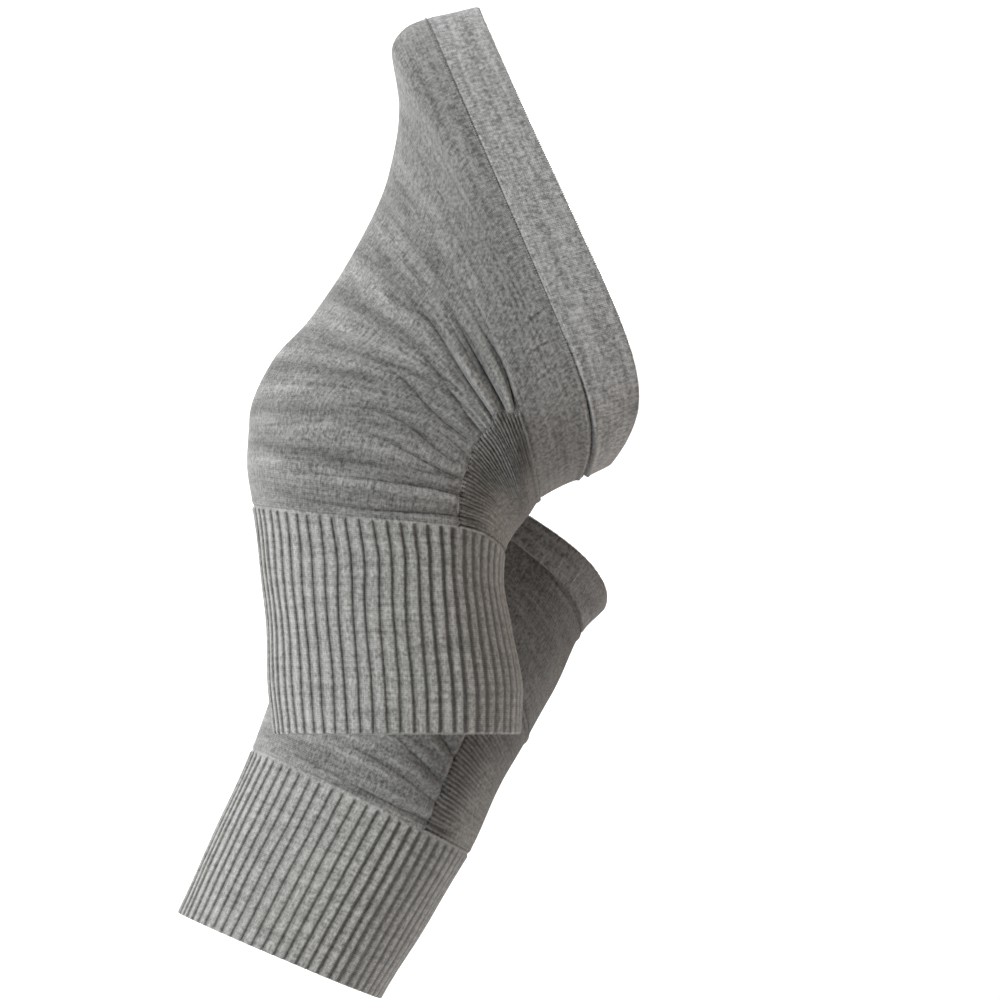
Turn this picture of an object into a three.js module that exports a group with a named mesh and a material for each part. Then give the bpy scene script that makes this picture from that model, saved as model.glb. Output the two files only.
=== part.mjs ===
// A pair of knitted compression knee sleeves, worn: the near knee is bent and the top of its sleeve is
// drawn up off the thigh, and the far leg is nearly straight and crosses behind it. The legs are not built.
// Units are millimetres, +Z is up and +X is the way the near thigh points. The near shin is upright.
// The origin is the middle of the hollow where the near knee sits.
//
// Each sleeve is a tube of knitted courses. A course is one ring of stitches round the leg, and a row of
// the tables below is one course, from the shin hem to the thigh hem. A place on the cloth is a pair:
// `course`, which counts rows and may lie between two of them, and `round`, which runs from 0 at the shin
// side, past the near side at a quarter and the hollow of the knee at a half, to 1 back at the shin side.
import * as THREE from "three";

// ---- Driving dimensions ----
const WALL = { cuff: 2.2, body: 1.8, panel: 1.6, band: 2.0 };
const SEAM_GAP = 0.3; // left open along each linked seam
const LEAN_ONSET = 1.2; // how slowly a leaning course leaves its straight line at the shin side
const LEAN_SHARPNESS = 11; // how close to the hollow it turns back
const SWELL_SCALE = 2.598; // makes the highest point of u(1 - u^2) equal to 1
const CREASE_FADE = 0.7; // how abruptly a crease starts and ends
const ROW_ROOM = 0.15; // rows of facets closer than this share of a course are merged
const RING_SAMPLES = 240; // steps that a course is measured in
const NUDGE = 0.01; // a small step in course or round, for slopes

// front: [x, z] of the course at the shin side. back: [x, z] in the hollow of the knee.
// swell: how far the sides rise above the straight line between them, towards the thigh.
// lean: the same, but growing steadily from front to back, as a hem does that is pulled up in front.
// roll: how far the near side is tipped towards the thigh, and the far side away from it.
// halfWidth: half the widest measure across. ovalness: 1 is an oval, less draws the front to a peak.
// depth: y of the middle of the course. panelEdge: `round` where the back panel starts.
const NEAR_COURSES = [
  { name: "shin hem", front: [-53.4, -140], back: [60.6, -139.6], swell: 0, lean: 0, roll: 4,
    halfWidth: 54, ovalness: 1, depth: 0, panelEdge: 0.35 },
  { name: "low cuff", front: [-55.2, -120], back: [60.9, -121], swell: 0, lean: 0, roll: 3,
    halfWidth: 54.5, ovalness: 1, depth: 0, panelEdge: 0.35 },
  { name: "mid cuff", front: [-57, -86], back: [56.4, -91], swell: 1, lean: 2, roll: 2,
    halfWidth: 55, ovalness: 1, depth: 0, panelEdge: 0.35 },
  { name: "high cuff", front: [-59.9, -58], back: [52.4, -70], swell: 0, lean: 8, roll: 0,
    halfWidth: 54.5, ovalness: 1, depth: 0, panelEdge: 0.35 },
  { name: "cuff top", front: [-62.6, -34.5], back: [53.4, -56.6], swell: 0, lean: 12, roll: 0,
    halfWidth: 54.5, ovalness: 1, depth: 0, panelEdge: 0.355 },
  { name: "below the kneecap", front: [-65.3, -13.5], back: [56.2, -50], swell: 4, lean: 14, roll: 0,
    halfWidth: 56, ovalness: 1, depth: 0, panelEdge: 0.345 },
  { name: "low kneecap", front: [-64.6, 6], back: [58.8, -46], swell: 25, lean: 3, roll: 0,
    halfWidth: 57, ovalness: 1, depth: 0, panelEdge: 0.337 },
  { name: "kneecap", front: [-54.5, 31], back: [60.8, -43.6], swell: 26, lean: 0, roll: 0,
    halfWidth: 58, ovalness: 0.95, depth: 0, panelEdge: 0.326 },
  { name: "high kneecap", front: [-36.5, 52], back: [62.4, -41.4], swell: 21, lean: 0, roll: 0,
    halfWidth: 59, ovalness: 0.85, depth: 0, panelEdge: 0.314 },
  { name: "above the kneecap", front: [-18, 79.5], back: [64.6, -38.6], swell: 13, lean: 0, roll: 0,
    halfWidth: 60, ovalness: 0.75, depth: 0, panelEdge: 0.306 },
  { name: "panel top", front: [-0.5, 118], back: [68.8, -32], swell: 9, lean: 0, roll: 0,
    halfWidth: 61, ovalness: 0.6, depth: 0, panelEdge: 0.335 },
  { name: "low thigh", front: [4.2, 150], back: [77.5, -26.6], swell: 6, lean: 6, roll: 0,
    halfWidth: 61.5, ovalness: 0.5, depth: 0, panelEdge: 0.34 },
  { name: "under the peak", front: [0.8, 174], back: [83.5, -23.8], swell: 3, lean: 12, roll: 0,
    halfWidth: 62, ovalness: 0.42, depth: 0, panelEdge: 0.33 },
  { name: "peak", front: [6.4, 184.6], back: [86.5, -22.8], swell: 1, lean: 15, roll: 0,
    halfWidth: 62, ovalness: 0.4, depth: 0, panelEdge: 0.33 },
  { name: "band seam", front: [17.5, 189.5], back: [88.8, -22], swell: 0, lean: 16, roll: 0,
    halfWidth: 62, ovalness: 0.4, depth: 0, panelEdge: 0.33 },
  { name: "mid band", front: [29, 191.8], back: [94.8, -19.2], swell: 0, lean: 23, roll: 0,
    halfWidth: 62, ovalness: 0.4, depth: 0, panelEdge: 0.33 },
  { name: "thigh hem", front: [40.5, 194.6], back: [101.3, -15.8], swell: 0, lean: 30, roll: 0,
    halfWidth: 61, ovalness: 0.4, depth: 0, panelEdge: 0.33 },
];

const FAR_COURSES = [
  { name: "shin hem", front: [-110.4, -238.6], back: [-8.9, -281.8], swell: 0, lean: 0, roll: 7,
    halfWidth: 53, ovalness: 1, depth: 131, panelEdge: 0.35 },
  { name: "mid cuff", front: [-92, -197.6], back: [15, -243], swell: 0, lean: 0, roll: 7,
    halfWidth: 54, ovalness: 1, depth: 133, panelEdge: 0.35 },
  { name: "cuff top", front: [-73.4, -157], back: [34.5, -209.6], swell: 0, lean: 0, roll: 7,
    halfWidth: 54.5, ovalness: 1, depth: 135, panelEdge: 0.35 },
  { name: "below the kneecap", front: [-65, -133], back: [43, -192], swell: 4, lean: 0, roll: 9,
    halfWidth: 56, ovalness: 1, depth: 138, panelEdge: 0.345 },
  { name: "kneecap", front: [-50, -92], back: [52, -174], swell: 8, lean: 0, roll: 12,
    halfWidth: 57.5, ovalness: 1, depth: 143, panelEdge: 0.34 },
  { name: "panel top", front: [-33, -57], back: [63.5, -154], swell: 8, lean: 0, roll: 14,
    halfWidth: 58.5, ovalness: 1, depth: 149, panelEdge: 0.335 },
  { name: "low thigh", front: [-20, -38], back: [77, -130], swell: 5, lean: 0, roll: 15,
    halfWidth: 59.5, ovalness: 1, depth: 155, panelEdge: 0.335 },
  { name: "band seam", front: [-9.5, -28], back: [91, -101.5], swell: 2, lean: 3, roll: 16,
    halfWidth: 60, ovalness: 1, depth: 161, panelEdge: 0.335 },
  { name: "thigh hem", front: [0, -20], back: [104.4, -87.5], swell: 0, lean: 4, roll: 17,
    halfWidth: 60.5, ovalness: 1, depth: 166, panelEdge: 0.335 },
];

// A soft crease runs along one course. start and end are in `round`, and the same crease is on the other
// side of the leg. depth is how far its trough sinks, and width is half its breadth in courses.
const NEAR_CREASES = [
  { course: 5.5, start: 0.16, end: 0.36, depth: 1.2, width: 0.22 },
  { course: 6.4, start: 0.14, end: 0.35, depth: 1.8, width: 0.22 },
  { course: 7.45, start: 0.2, end: 0.35, depth: 1.5, width: 0.2 },
  { course: 8.3, start: 0.17, end: 0.35, depth: 1.7, width: 0.2 },
  { course: 9.1, start: 0.13, end: 0.35, depth: 1.6, width: 0.18 },
  { course: 9.62, start: 0.17, end: 0.35, depth: 2.2, width: 0.16 },
];

const FAR_CREASES = [
  { course: 3.6, start: 0.2, end: 0.37, depth: 1.5, width: 0.22 },
  { course: 4.5, start: 0.18, end: 0.36, depth: 1.6, width: 0.22 },
];

const SLEEVES = {
  near: {
    courses: NEAR_COURSES,
    creases: NEAR_CREASES,
    around: 40, // facets round the leg
    panelColumn: 13, // facets from the shin side to the panel's edge
    cuffTop: 4,
    panelTop: 10,
    bandSeam: 14,
    thighHem: 16,
    cuffSteps: 6,
    bandSteps: 3,
  },
  far: {
    courses: FAR_COURSES,
    creases: FAR_CREASES,
    around: 40,
    panelColumn: 13,
    cuffTop: 2,
    panelTop: 5,
    bandSeam: 7,
    thighHem: 8,
    cuffSteps: 4,
    bandSteps: 2,
  },
};

// ---- Materials ----
const FINISH = {
  cuff: { color: 0x8d8f8b, roughness: 0.95, metalness: 0 },
  body: { color: 0x808280, roughness: 0.95, metalness: 0 },
  panel: { color: 0x615e5a, roughness: 0.97, metalness: 0 },
  band: { color: 0x8a8a87, roughness: 0.93, metalness: 0 },
};

// ---- Reading the tables ----

// The value at `place` of a list that counts 0, 1, 2, with a smooth curve that never overshoots a row.
function between(values, place) {
  const last = values.length - 1;
  const low = Math.min(Math.max(Math.floor(place), 0), last - 1);
  const t = Math.min(Math.max(place - low, 0), 1);
  const rise = (k) => values[k + 1] - values[k];
  const slope = (k) => {
    if (k === 0) return rise(0);
    if (k === last) return rise(last - 1);
    const before = rise(k - 1);
    const after = rise(k);
    return before * after <= 0 ? 0 : (2 * before * after) / (before + after);
  };
  const t2 = t * t;
  const t3 = t2 * t;
  return (
    values[low] * (2 * t3 - 3 * t2 + 1) +
    slope(low) * (t3 - 2 * t2 + t) +
    values[low + 1] * (3 * t2 - 2 * t3) +
    slope(low + 1) * (t3 - t2)
  );
}

// One course, made up from the rows on each side of it.
function courseAt(courses, place) {
  const read = (pick) => between(courses.map(pick), place);
  return {
    front: new THREE.Vector2(read((c) => c.front[0]), read((c) => c.front[1])),
    back: new THREE.Vector2(read((c) => c.back[0]), read((c) => c.back[1])),
    swell: read((c) => c.swell),
    lean: read((c) => c.lean),
    roll: read((c) => c.roll),
    halfWidth: read((c) => c.halfWidth),
    ovalness: read((c) => c.ovalness),
    depth: read((c) => c.depth),
    panelEdge: read((c) => c.panelEdge),
  };
}

// The largest value of sin(a) (ovalness + (1 - ovalness) u), where u is (1 - cos(a)) / 2.
function widest(ovalness) {
  const oval = (1 + ovalness) / 2;
  const peak = (1 - ovalness) / 2;
  if (peak < 1e-6) return oval;
  const cosine = (oval - Math.sqrt(oval * oval + 8 * peak * peak)) / (4 * peak);
  return Math.sqrt(1 - cosine * cosine) * (oval - peak * cosine);
}

// A point of a course at an angle that runs from 0 at the shin side to a full turn.
function coursePoint(course, angle) {
  const u = (1 - Math.cos(angle)) / 2;
  const side = Math.sin(angle);
  const chord = course.back.clone().sub(course.front);
  const thighward = new THREE.Vector2(-chord.y, chord.x).normalize();
  const rise =
    course.swell * SWELL_SCALE * u * (1 - u * u) +
    course.lean * u ** LEAN_ONSET * (1 - u ** LEAN_SHARPNESS) +
    course.roll * side;
  const flat = course.front.clone().addScaledVector(chord, u).addScaledVector(thighward, rise);
  const taper = course.ovalness + (1 - course.ovalness) * u;
  const across = (course.halfWidth * side * taper) / widest(course.ovalness);
  return new THREE.Vector3(flat.x, course.depth - across, flat.y);
}

// ---- The cloth's outer face ----

// Angles of a course at evenly spaced lengths along it, so that stitches are spread evenly round it.
function evenAngles(course) {
  const lengths = [0];
  let previous = coursePoint(course, 0);
  for (let i = 1; i <= RING_SAMPLES; i++) {
    const next = coursePoint(course, (2 * Math.PI * i) / RING_SAMPLES);
    lengths.push(lengths[i - 1] + next.distanceTo(previous));
    previous = next;
  }
  return { lengths, girth: lengths[RING_SAMPLES] };
}

function angleAt({ lengths, girth }, round) {
  const turns = Math.floor(round);
  const wanted = (round - turns) * girth;
  let i = 0;
  while (i < RING_SAMPLES - 1 && lengths[i + 1] < wanted) i++;
  const share = (wanted - lengths[i]) / (lengths[i + 1] - lengths[i]);
  return (2 * Math.PI * (i + share)) / RING_SAMPLES + 2 * Math.PI * turns;
}

// A sleeve's smooth tube, with each course measured only once.
class Tube {
  constructor(courses) {
    this.courses = courses;
    this.measured = new Map();
  }

  course(place) {
    const key = place.toFixed(5);
    if (!this.measured.has(key)) {
      const course = courseAt(this.courses, place);
      this.measured.set(key, { course, even: evenAngles(course) });
    }
    return this.measured.get(key);
  }

  point(place, round) {
    const { course, even } = this.course(place);
    return coursePoint(course, angleAt(even, round));
  }

  // A short step along the wales at a place: how many courses it crosses, and which way it goes.
  waleStep(place, round) {
    const low = Math.max(place - NUDGE, 0);
    const high = Math.min(place + NUDGE, this.courses.length - 1);
    return { crossed: high - low, along: this.point(high, round).sub(this.point(low, round)) };
  }

  // The way straight out of the cloth.
  outward(place, round) {
    const { along } = this.waleStep(place, round);
    const about = this.point(place, round + NUDGE).sub(this.point(place, round - NUDGE));
    return about.cross(along).normalize();
  }

  // Courses in one millimetre of cloth at a place.
  coursesPerMm(place, round) {
    const { crossed, along } = this.waleStep(place, round);
    return crossed / along.length();
  }
}

// How far the creases sink the cloth at a place.
function creaseDepth(creases, place, round) {
  const sideways = Math.min(round, 1 - round); // the same on both sides of the leg
  return creases.reduce((sum, crease) => {
    const across = (place - crease.course) / crease.width;
    const along = (sideways - crease.start) / (crease.end - crease.start);
    if (along <= 0 || along >= 1) return sum;
    return sum + crease.depth * Math.exp(-across * across) * Math.sin(Math.PI * along) ** CREASE_FADE;
  }, 0);
}

// ---- Walls ----

// A closed wall on a grid of courses and columns. `holds(row, column)` says which cells the piece fills,
// and `place(row, column)` gives { outer, inner }, the two faces' points at a corner of the cells.
function wall(rows, columns, holds, place) {
  const corners = [];
  const index = new Map();
  const corner = (row, column, face) => {
    const key = `${row},${column % columns},${face}`;
    if (!index.has(key)) {
      index.set(key, corners.length);
      corners.push(place(row, column % columns)[face]);
    }
    return index.get(key);
  };
  const filled = (row, column) =>
    row >= 0 && row < rows && holds(row, (column + columns) % columns);
  const triangles = [];
  const quad = (a, b, c, d) => triangles.push(a, b, c, a, c, d);
  for (let row = 0; row < rows; row++) {
    for (let column = 0; column < columns; column++) {
      if (!filled(row, column)) continue;
      const ring = [
        [row, column],
        [row, column + 1],
        [row + 1, column + 1],
        [row + 1, column],
      ];
      const outer = ring.map(([r, c]) => corner(r, c, "outer"));
      const inner = ring.map(([r, c]) => corner(r, c, "inner"));
      quad(...outer);
      quad(...inner.slice().reverse());
      const neighbours = [
        [row - 1, column],
        [row, column + 1],
        [row + 1, column],
        [row, column - 1],
      ];
      neighbours.forEach(([r, c], edge) => {
        if (filled(r, c)) return;
        const next = (edge + 1) % 4;
        // Both sides of a seam are split the same way, so that twisted edges don't cross.
        if (edge < 2) quad(outer[edge], inner[edge], inner[next], outer[next]);
        else quad(inner[edge], inner[next], outer[next], outer[edge]);
      });
    }
  }
  const geometry = new THREE.BufferGeometry();
  geometry.setAttribute(
    "position",
    new THREE.Float32BufferAttribute(corners.flatMap((p) => p.toArray()), 3),
  );
  geometry.setIndex(triangles);
  geometry.computeVertexNormals();
  return geometry;
}

// `round` of a column: the columns bend so that one of them follows the panel's edge.
function columnRound(sleeve, panelEdge, column) {
  const { around, panelColumn } = sleeve;
  if (column <= panelColumn) return (panelEdge * column) / panelColumn;
  if (column >= around - panelColumn) return 1 - (panelEdge * (around - column)) / panelColumn;
  const inPanel = (column - panelColumn) / (around - 2 * panelColumn);
  return panelEdge + (1 - 2 * panelEdge) * inPanel;
}

// Both faces of the cloth at a place, after moving `courseShift` and `roundShift` millimetres along it.
function faces(sleeve, tube, thickness, place, column, courseShift, roundShift) {
  const { course, even } = tube.course(place);
  const round = columnRound(sleeve, course.panelEdge, column) + roundShift / even.girth;
  const moved = place + courseShift * tube.coursesPerMm(place, round);
  const outward = tube.outward(moved, round);
  const sunk = creaseDepth(sleeve.creases, moved, round);
  const outer = tube.point(moved, round).addScaledVector(outward, -sunk);
  return { outer, inner: outer.clone().addScaledVector(outward, -thickness) };
}

// Courses from start to end in even steps.
function evenRows(start, end, steps) {
  return Array.from({ length: steps + 1 }, (_, i) => start + ((end - start) * i) / steps);
}

// The body's rows: every course of the table, and the trough and both shoulders of every crease.
function bodyRows(sleeve) {
  const rows = evenRows(sleeve.cuffTop, sleeve.bandSeam, sleeve.bandSeam - sleeve.cuffTop);
  for (const { course, width } of sleeve.creases) rows.push(course - width, course, course + width);
  rows.sort((a, b) => a - b);
  return rows.filter((row, i) => Number.isInteger(row) || row - rows[i - 1] > ROW_ROOM);
}

// A plain tube between two courses, with half a seam gap taken off each end that is linked.
function tubePiece(sleeve, tube, thickness, rows, gapStart, gapEnd) {
  const steps = rows.length - 1;
  return wall(
    steps,
    sleeve.around,
    () => true,
    (row, column) => {
      const shift = row === 0 ? gapStart : row === steps ? -gapEnd : 0;
      return faces(sleeve, tube, thickness, rows[row], column, shift, 0);
    },
  );
}

function inPanelColumns(sleeve, column) {
  return column >= sleeve.panelColumn && column < sleeve.around - sleeve.panelColumn;
}

// The body goes all round above the panel's top course, and leaves the panel's opening below it.
function bodyPiece(sleeve, tube, rows) {
  const steps = rows.length - 1;
  const panelRow = rows.indexOf(sleeve.panelTop);
  const half = SEAM_GAP / 2;
  return wall(
    steps,
    sleeve.around,
    (row, column) => row >= panelRow || !inPanelColumns(sleeve, column),
    (row, column) => {
      const lowEdge = column === sleeve.panelColumn;
      const highEdge = column === sleeve.around - sleeve.panelColumn;
      const overPanel = inPanelColumns(sleeve, column) || highEdge;
      let courseShift = 0;
      if (row === 0) courseShift = half;
      if (row === steps) courseShift = -half;
      if (row === panelRow && overPanel) courseShift = half;
      const besidePanel = row <= panelRow && (lowEdge || highEdge);
      const roundShift = besidePanel ? (lowEdge ? -half : half) : 0;
      return faces(sleeve, tube, WALL.body, rows[row], column, courseShift, roundShift);
    },
  );
}

// The panel fills that opening, half a seam gap inside it on every side.
function panelPiece(sleeve, tube, rows) {
  const panelRows = rows.slice(0, rows.indexOf(sleeve.panelTop) + 1);
  const steps = panelRows.length - 1;
  const half = SEAM_GAP / 2;
  return wall(
    steps,
    sleeve.around,
    (row, column) => inPanelColumns(sleeve, column),
    (row, column) => {
      const courseShift = row === 0 ? half : row === steps ? -half : 0;
      let roundShift = 0;
      if (column === sleeve.panelColumn) roundShift = half;
      if (column === sleeve.around - sleeve.panelColumn) roundShift = -half;
      return faces(sleeve, tube, WALL.panel, panelRows[row], column, courseShift, roundShift);
    },
  );
}

// ---- Assembly ----

function named(name, geometry, finish) {
  const mesh = new THREE.Mesh(geometry, new THREE.MeshStandardMaterial(finish));
  mesh.name = name;
  return mesh;
}

function makeSleeve(side, sleeve) {
  const tube = new Tube(sleeve.courses);
  const half = SEAM_GAP / 2;
  const cuffRows = evenRows(0, sleeve.cuffTop, sleeve.cuffSteps);
  const middleRows = bodyRows(sleeve);
  const bandRows = evenRows(sleeve.bandSeam, sleeve.thighHem, sleeve.bandSteps);
  const group = new THREE.Group();
  group.add(
    named(`${side}_cuff`, tubePiece(sleeve, tube, WALL.cuff, cuffRows, 0, half), FINISH.cuff),
    named(`${side}_body`, bodyPiece(sleeve, tube, middleRows), FINISH.body),
    named(`${side}_back_panel`, panelPiece(sleeve, tube, middleRows), FINISH.panel),
    named(`${side}_band`, tubePiece(sleeve, tube, WALL.band, bandRows, half, 0), FINISH.band),
  );
  return group;
}

const pair = new THREE.Group();
for (const [side, sleeve] of Object.entries(SLEEVES)) pair.add(makeSleeve(side, sleeve));

export default pair;
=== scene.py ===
# The looks of a pair of knitted compression knee sleeves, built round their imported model: a ribbed cuff,
# a plain body with lighter and darker courses, a ridged panel behind the knee and a plain welt band on
# each sleeve, with the linking stitches and cast-on loops that hold the cloth together.
# Lengths in the tables are millimetres, as in the knitting. Meshes are in metres.
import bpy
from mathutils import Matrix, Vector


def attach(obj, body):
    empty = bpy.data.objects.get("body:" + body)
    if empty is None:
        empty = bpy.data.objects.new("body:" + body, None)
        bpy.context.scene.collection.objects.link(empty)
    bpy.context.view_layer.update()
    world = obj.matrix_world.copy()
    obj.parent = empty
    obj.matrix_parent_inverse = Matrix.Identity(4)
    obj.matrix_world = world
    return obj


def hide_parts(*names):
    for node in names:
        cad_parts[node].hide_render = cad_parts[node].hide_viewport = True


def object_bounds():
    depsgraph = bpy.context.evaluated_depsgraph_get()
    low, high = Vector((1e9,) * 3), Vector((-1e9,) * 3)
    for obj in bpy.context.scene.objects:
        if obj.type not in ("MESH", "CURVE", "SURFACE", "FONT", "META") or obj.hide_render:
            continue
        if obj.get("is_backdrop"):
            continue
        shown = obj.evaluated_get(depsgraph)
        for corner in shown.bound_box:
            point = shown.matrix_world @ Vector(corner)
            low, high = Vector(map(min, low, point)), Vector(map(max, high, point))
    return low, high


bl_info = {
    "name": "Knitted Knee Sleeves",
    "version": (1, 0, 0),
    "blender": (4, 5, 0),
    "location": "View3D > Sidebar > Knee Sleeves",
    "description": "Builds the cloth of a pair of ribbed compression knee sleeves on its packed model",
    "category": "Add Mesh",
}

import math

import bpy
import numpy as np
from bpy.props import FloatProperty, FloatVectorProperty, IntProperty, PointerProperty
from mathutils import Vector

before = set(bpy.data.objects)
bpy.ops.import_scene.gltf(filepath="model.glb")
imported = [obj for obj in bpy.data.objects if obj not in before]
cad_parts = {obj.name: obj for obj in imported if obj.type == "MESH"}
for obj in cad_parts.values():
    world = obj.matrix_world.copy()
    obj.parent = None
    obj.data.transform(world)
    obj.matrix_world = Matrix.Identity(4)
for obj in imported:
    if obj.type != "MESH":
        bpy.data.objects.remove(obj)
cad_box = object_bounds()

MM = 0.001
BODY = "root"

# ---- The cut and pose of the two sleeves ----

# Each row is one knitted course round the leg, from the shin hem to the thigh hem. A place on the cloth is
# a pair: `course`, which counts the rows and may lie between two of them, and `round`, which runs from 0
# at the shin side, past the near side at a quarter and the hollow of the knee at a half, back to 1.
# front and back: x and z of the course at the shin side and in the hollow of the knee.
# swell: how far the sides rise above the straight line between them, towards the thigh.
# lean: the same, but growing steadily from front to back. roll: how far the near side is tipped up.
# half_width: half the widest measure across. ovalness: 1 is an oval, less draws the front to a peak.
# depth: y of the middle of the course. panel_edge: `round` where the back panel starts.
COLUMNS = (
    "front_x", "front_z", "back_x", "back_z",
    "swell", "lean", "roll", "half_width", "ovalness", "depth", "panel_edge",
)

NEAR_COURSES = {
    "shin hem": (-53.4, -140, 60.6, -139.6, 0, 0, 4, 54, 1, 0, 0.35),
    "low cuff": (-55.2, -120, 60.9, -121, 0, 0, 3, 54.5, 1, 0, 0.35),
    "mid cuff": (-57, -86, 56.4, -91, 1, 2, 2, 55, 1, 0, 0.35),
    "high cuff": (-59.9, -58, 52.4, -70, 0, 8, 0, 54.5, 1, 0, 0.35),
    "cuff top": (-62.6, -34.5, 53.4, -56.6, 0, 12, 0, 54.5, 1, 0, 0.355),
    "below the kneecap": (-65.3, -13.5, 56.2, -50, 4, 14, 0, 56, 1, 0, 0.345),
    "low kneecap": (-64.6, 6, 58.8, -46, 25, 3, 0, 57, 1, 0, 0.337),
    "kneecap": (-54.5, 31, 60.8, -43.6, 26, 0, 0, 58, 0.95, 0, 0.326),
    "high kneecap": (-36.5, 52, 62.4, -41.4, 21, 0, 0, 59, 0.85, 0, 0.314),
    "above the kneecap": (-18, 79.5, 64.6, -38.6, 13, 0, 0, 60, 0.75, 0, 0.306),
    "panel top": (-0.5, 118, 68.8, -32, 9, 0, 0, 61, 0.6, 0, 0.335),
    "low thigh": (4.2, 150, 77.5, -26.6, 6, 6, 0, 61.5, 0.5, 0, 0.34),
    "under the peak": (0.8, 174, 83.5, -23.8, 3, 12, 0, 62, 0.42, 0, 0.33),
    "peak": (6.4, 184.6, 86.5, -22.8, 1, 15, 0, 62, 0.4, 0, 0.33),
    "band seam": (17.5, 189.5, 88.8, -22, 0, 16, 0, 62, 0.4, 0, 0.33),
    "mid band": (29, 191.8, 94.8, -19.2, 0, 23, 0, 62, 0.4, 0, 0.33),
    "thigh hem": (40.5, 194.6, 101.3, -15.8, 0, 30, 0, 61, 0.4, 0, 0.33),
}

FAR_COURSES = {
    "shin hem": (-110.4, -238.6, -8.9, -281.8, 0, 0, 7, 53, 1, 131, 0.35),
    "mid cuff": (-92, -197.6, 15, -243, 0, 0, 7, 54, 1, 133, 0.35),
    "cuff top": (-73.4, -157, 34.5, -209.6, 0, 0, 7, 54.5, 1, 135, 0.35),
    "below the kneecap": (-65, -133, 43, -192, 4, 0, 9, 56, 1, 138, 0.345),
    "kneecap": (-50, -92, 52, -174, 8, 0, 12, 57.5, 1, 143, 0.34),
    "panel top": (-33, -57, 63.5, -154, 8, 0, 14, 58.5, 1, 149, 0.335),
    "low thigh": (-20, -38, 77, -130, 5, 0, 15, 59.5, 1, 155, 0.335),
    "band seam": (-9.5, -28, 91, -101.5, 2, 3, 16, 60, 1, 161, 0.335),
    "thigh hem": (0, -20, 104.4, -87.5, 0, 4, 17, 60.5, 1, 166, 0.335),
}

# Creases that fan out of the hollow of the knee. path is the bottom of the crease as (round, course)
# from its faint end to the panel, and depth and width are in mm.
CREASE_COLUMNS = ("path", "depth", "width")
NEAR_CREASES = [
    (((0.170, 4.27), (0.220, 4.21), (0.300, 4.25), (0.400, 4.36)), 1.3, 1.3),
    (((0.130, 4.86), (0.220, 4.90), (0.300, 4.93), (0.353, 4.93)), 1.2, 1.3),
    (((0.262, 5.24), (0.300, 5.25), (0.335, 5.27)), 0.7, 1.0),
    (((0.215, 5.64), (0.270, 5.46), (0.310, 5.36), (0.342, 5.32)), 1.3, 1.4),
    (((0.200, 6.14), (0.250, 5.92), (0.290, 5.68), (0.334, 5.57)), 1.1, 1.3),
    (((0.265, 6.15), (0.300, 6.04), (0.336, 5.84)), 0.8, 1.1),
    (((0.180, 7.45), (0.220, 7.14), (0.265, 6.66), (0.327, 6.50)), 1.2, 1.4),
    (((0.200, 8.28), (0.245, 7.90), (0.290, 7.31), (0.324, 7.10)), 1.3, 1.4),
    (((0.150, 8.98), (0.230, 8.92), (0.280, 8.69), (0.311, 8.70)), 1.7, 1.4),
    (((0.190, 9.42), (0.225, 9.32), (0.262, 9.26)), 0.8, 1.0),
    (((0.215, 9.50), (0.245, 9.52), (0.274, 9.41)), 0.7, 1.0),
    (((0.200, 9.53), (0.245, 9.42), (0.290, 9.41), (0.318, 9.46)), 2.3, 1.5),
    (((0.228, 9.89), (0.265, 9.98), (0.305, 10.05), (0.324, 9.86)), 1.3, 1.2),
]
FAR_CREASES = [
    (((0.170, 2.17), (0.280, 2.14), (0.400, 2.20)), 1.2, 1.3),
    (((0.200, 2.75), (0.280, 2.68), (0.352, 2.55)), 1.1, 1.4),
    (((0.200, 3.30), (0.280, 3.12), (0.350, 2.92)), 1.2, 1.5),
    (((0.180, 3.75), (0.270, 3.62), (0.345, 3.38)), 1.5, 1.6),
    (((0.210, 4.15), (0.280, 4.05), (0.342, 3.86)), 1.1, 1.4),
    (((0.190, 4.58), (0.270, 4.50), (0.340, 4.36)), 1.6, 1.6),
    (((0.230, 4.95), (0.290, 4.97), (0.337, 4.84)), 1.0, 1.3),
]

# Pulled wales that run across the courses, drawn only as painted lines with a bump. path is as above, and
# depth and width are in mm; depth also sets how dark the painted line is. Where a wale is pulled tight it
# stands up and catches the light, its line is a painted highlight and its depth is negative.
NEAR_PULLS = [
    (((0.288, 11.19), (0.296, 11.82), (0.300, 12.65), (0.299, 13.45)), 0.6, 0.5),
    (((0.305, 10.75), (0.311, 11.19), (0.319, 11.80), (0.322, 12.73)), 0.65, 0.5),
    (((0.330, 10.64), (0.333, 11.02), (0.339, 11.57), (0.343, 12.32)), 0.55, 0.5),
]
FAR_PULLS = [
    (((0.309, 7.30), (0.312, 7.05), (0.317, 6.72)), -0.7, 0.55),
    (((0.329, 7.70), (0.335, 7.30), (0.342, 6.94)), -0.7, 0.5),
    (((0.362, 7.76), (0.365, 7.45), (0.369, 7.08)), -0.8, 0.5),
    (((0.389, 7.60), (0.396, 7.40), (0.405, 7.12)), -0.6, 0.5),
    (((0.430, 7.36), (0.439, 7.10), (0.450, 6.76)), -0.6, 1.1),
]

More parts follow.
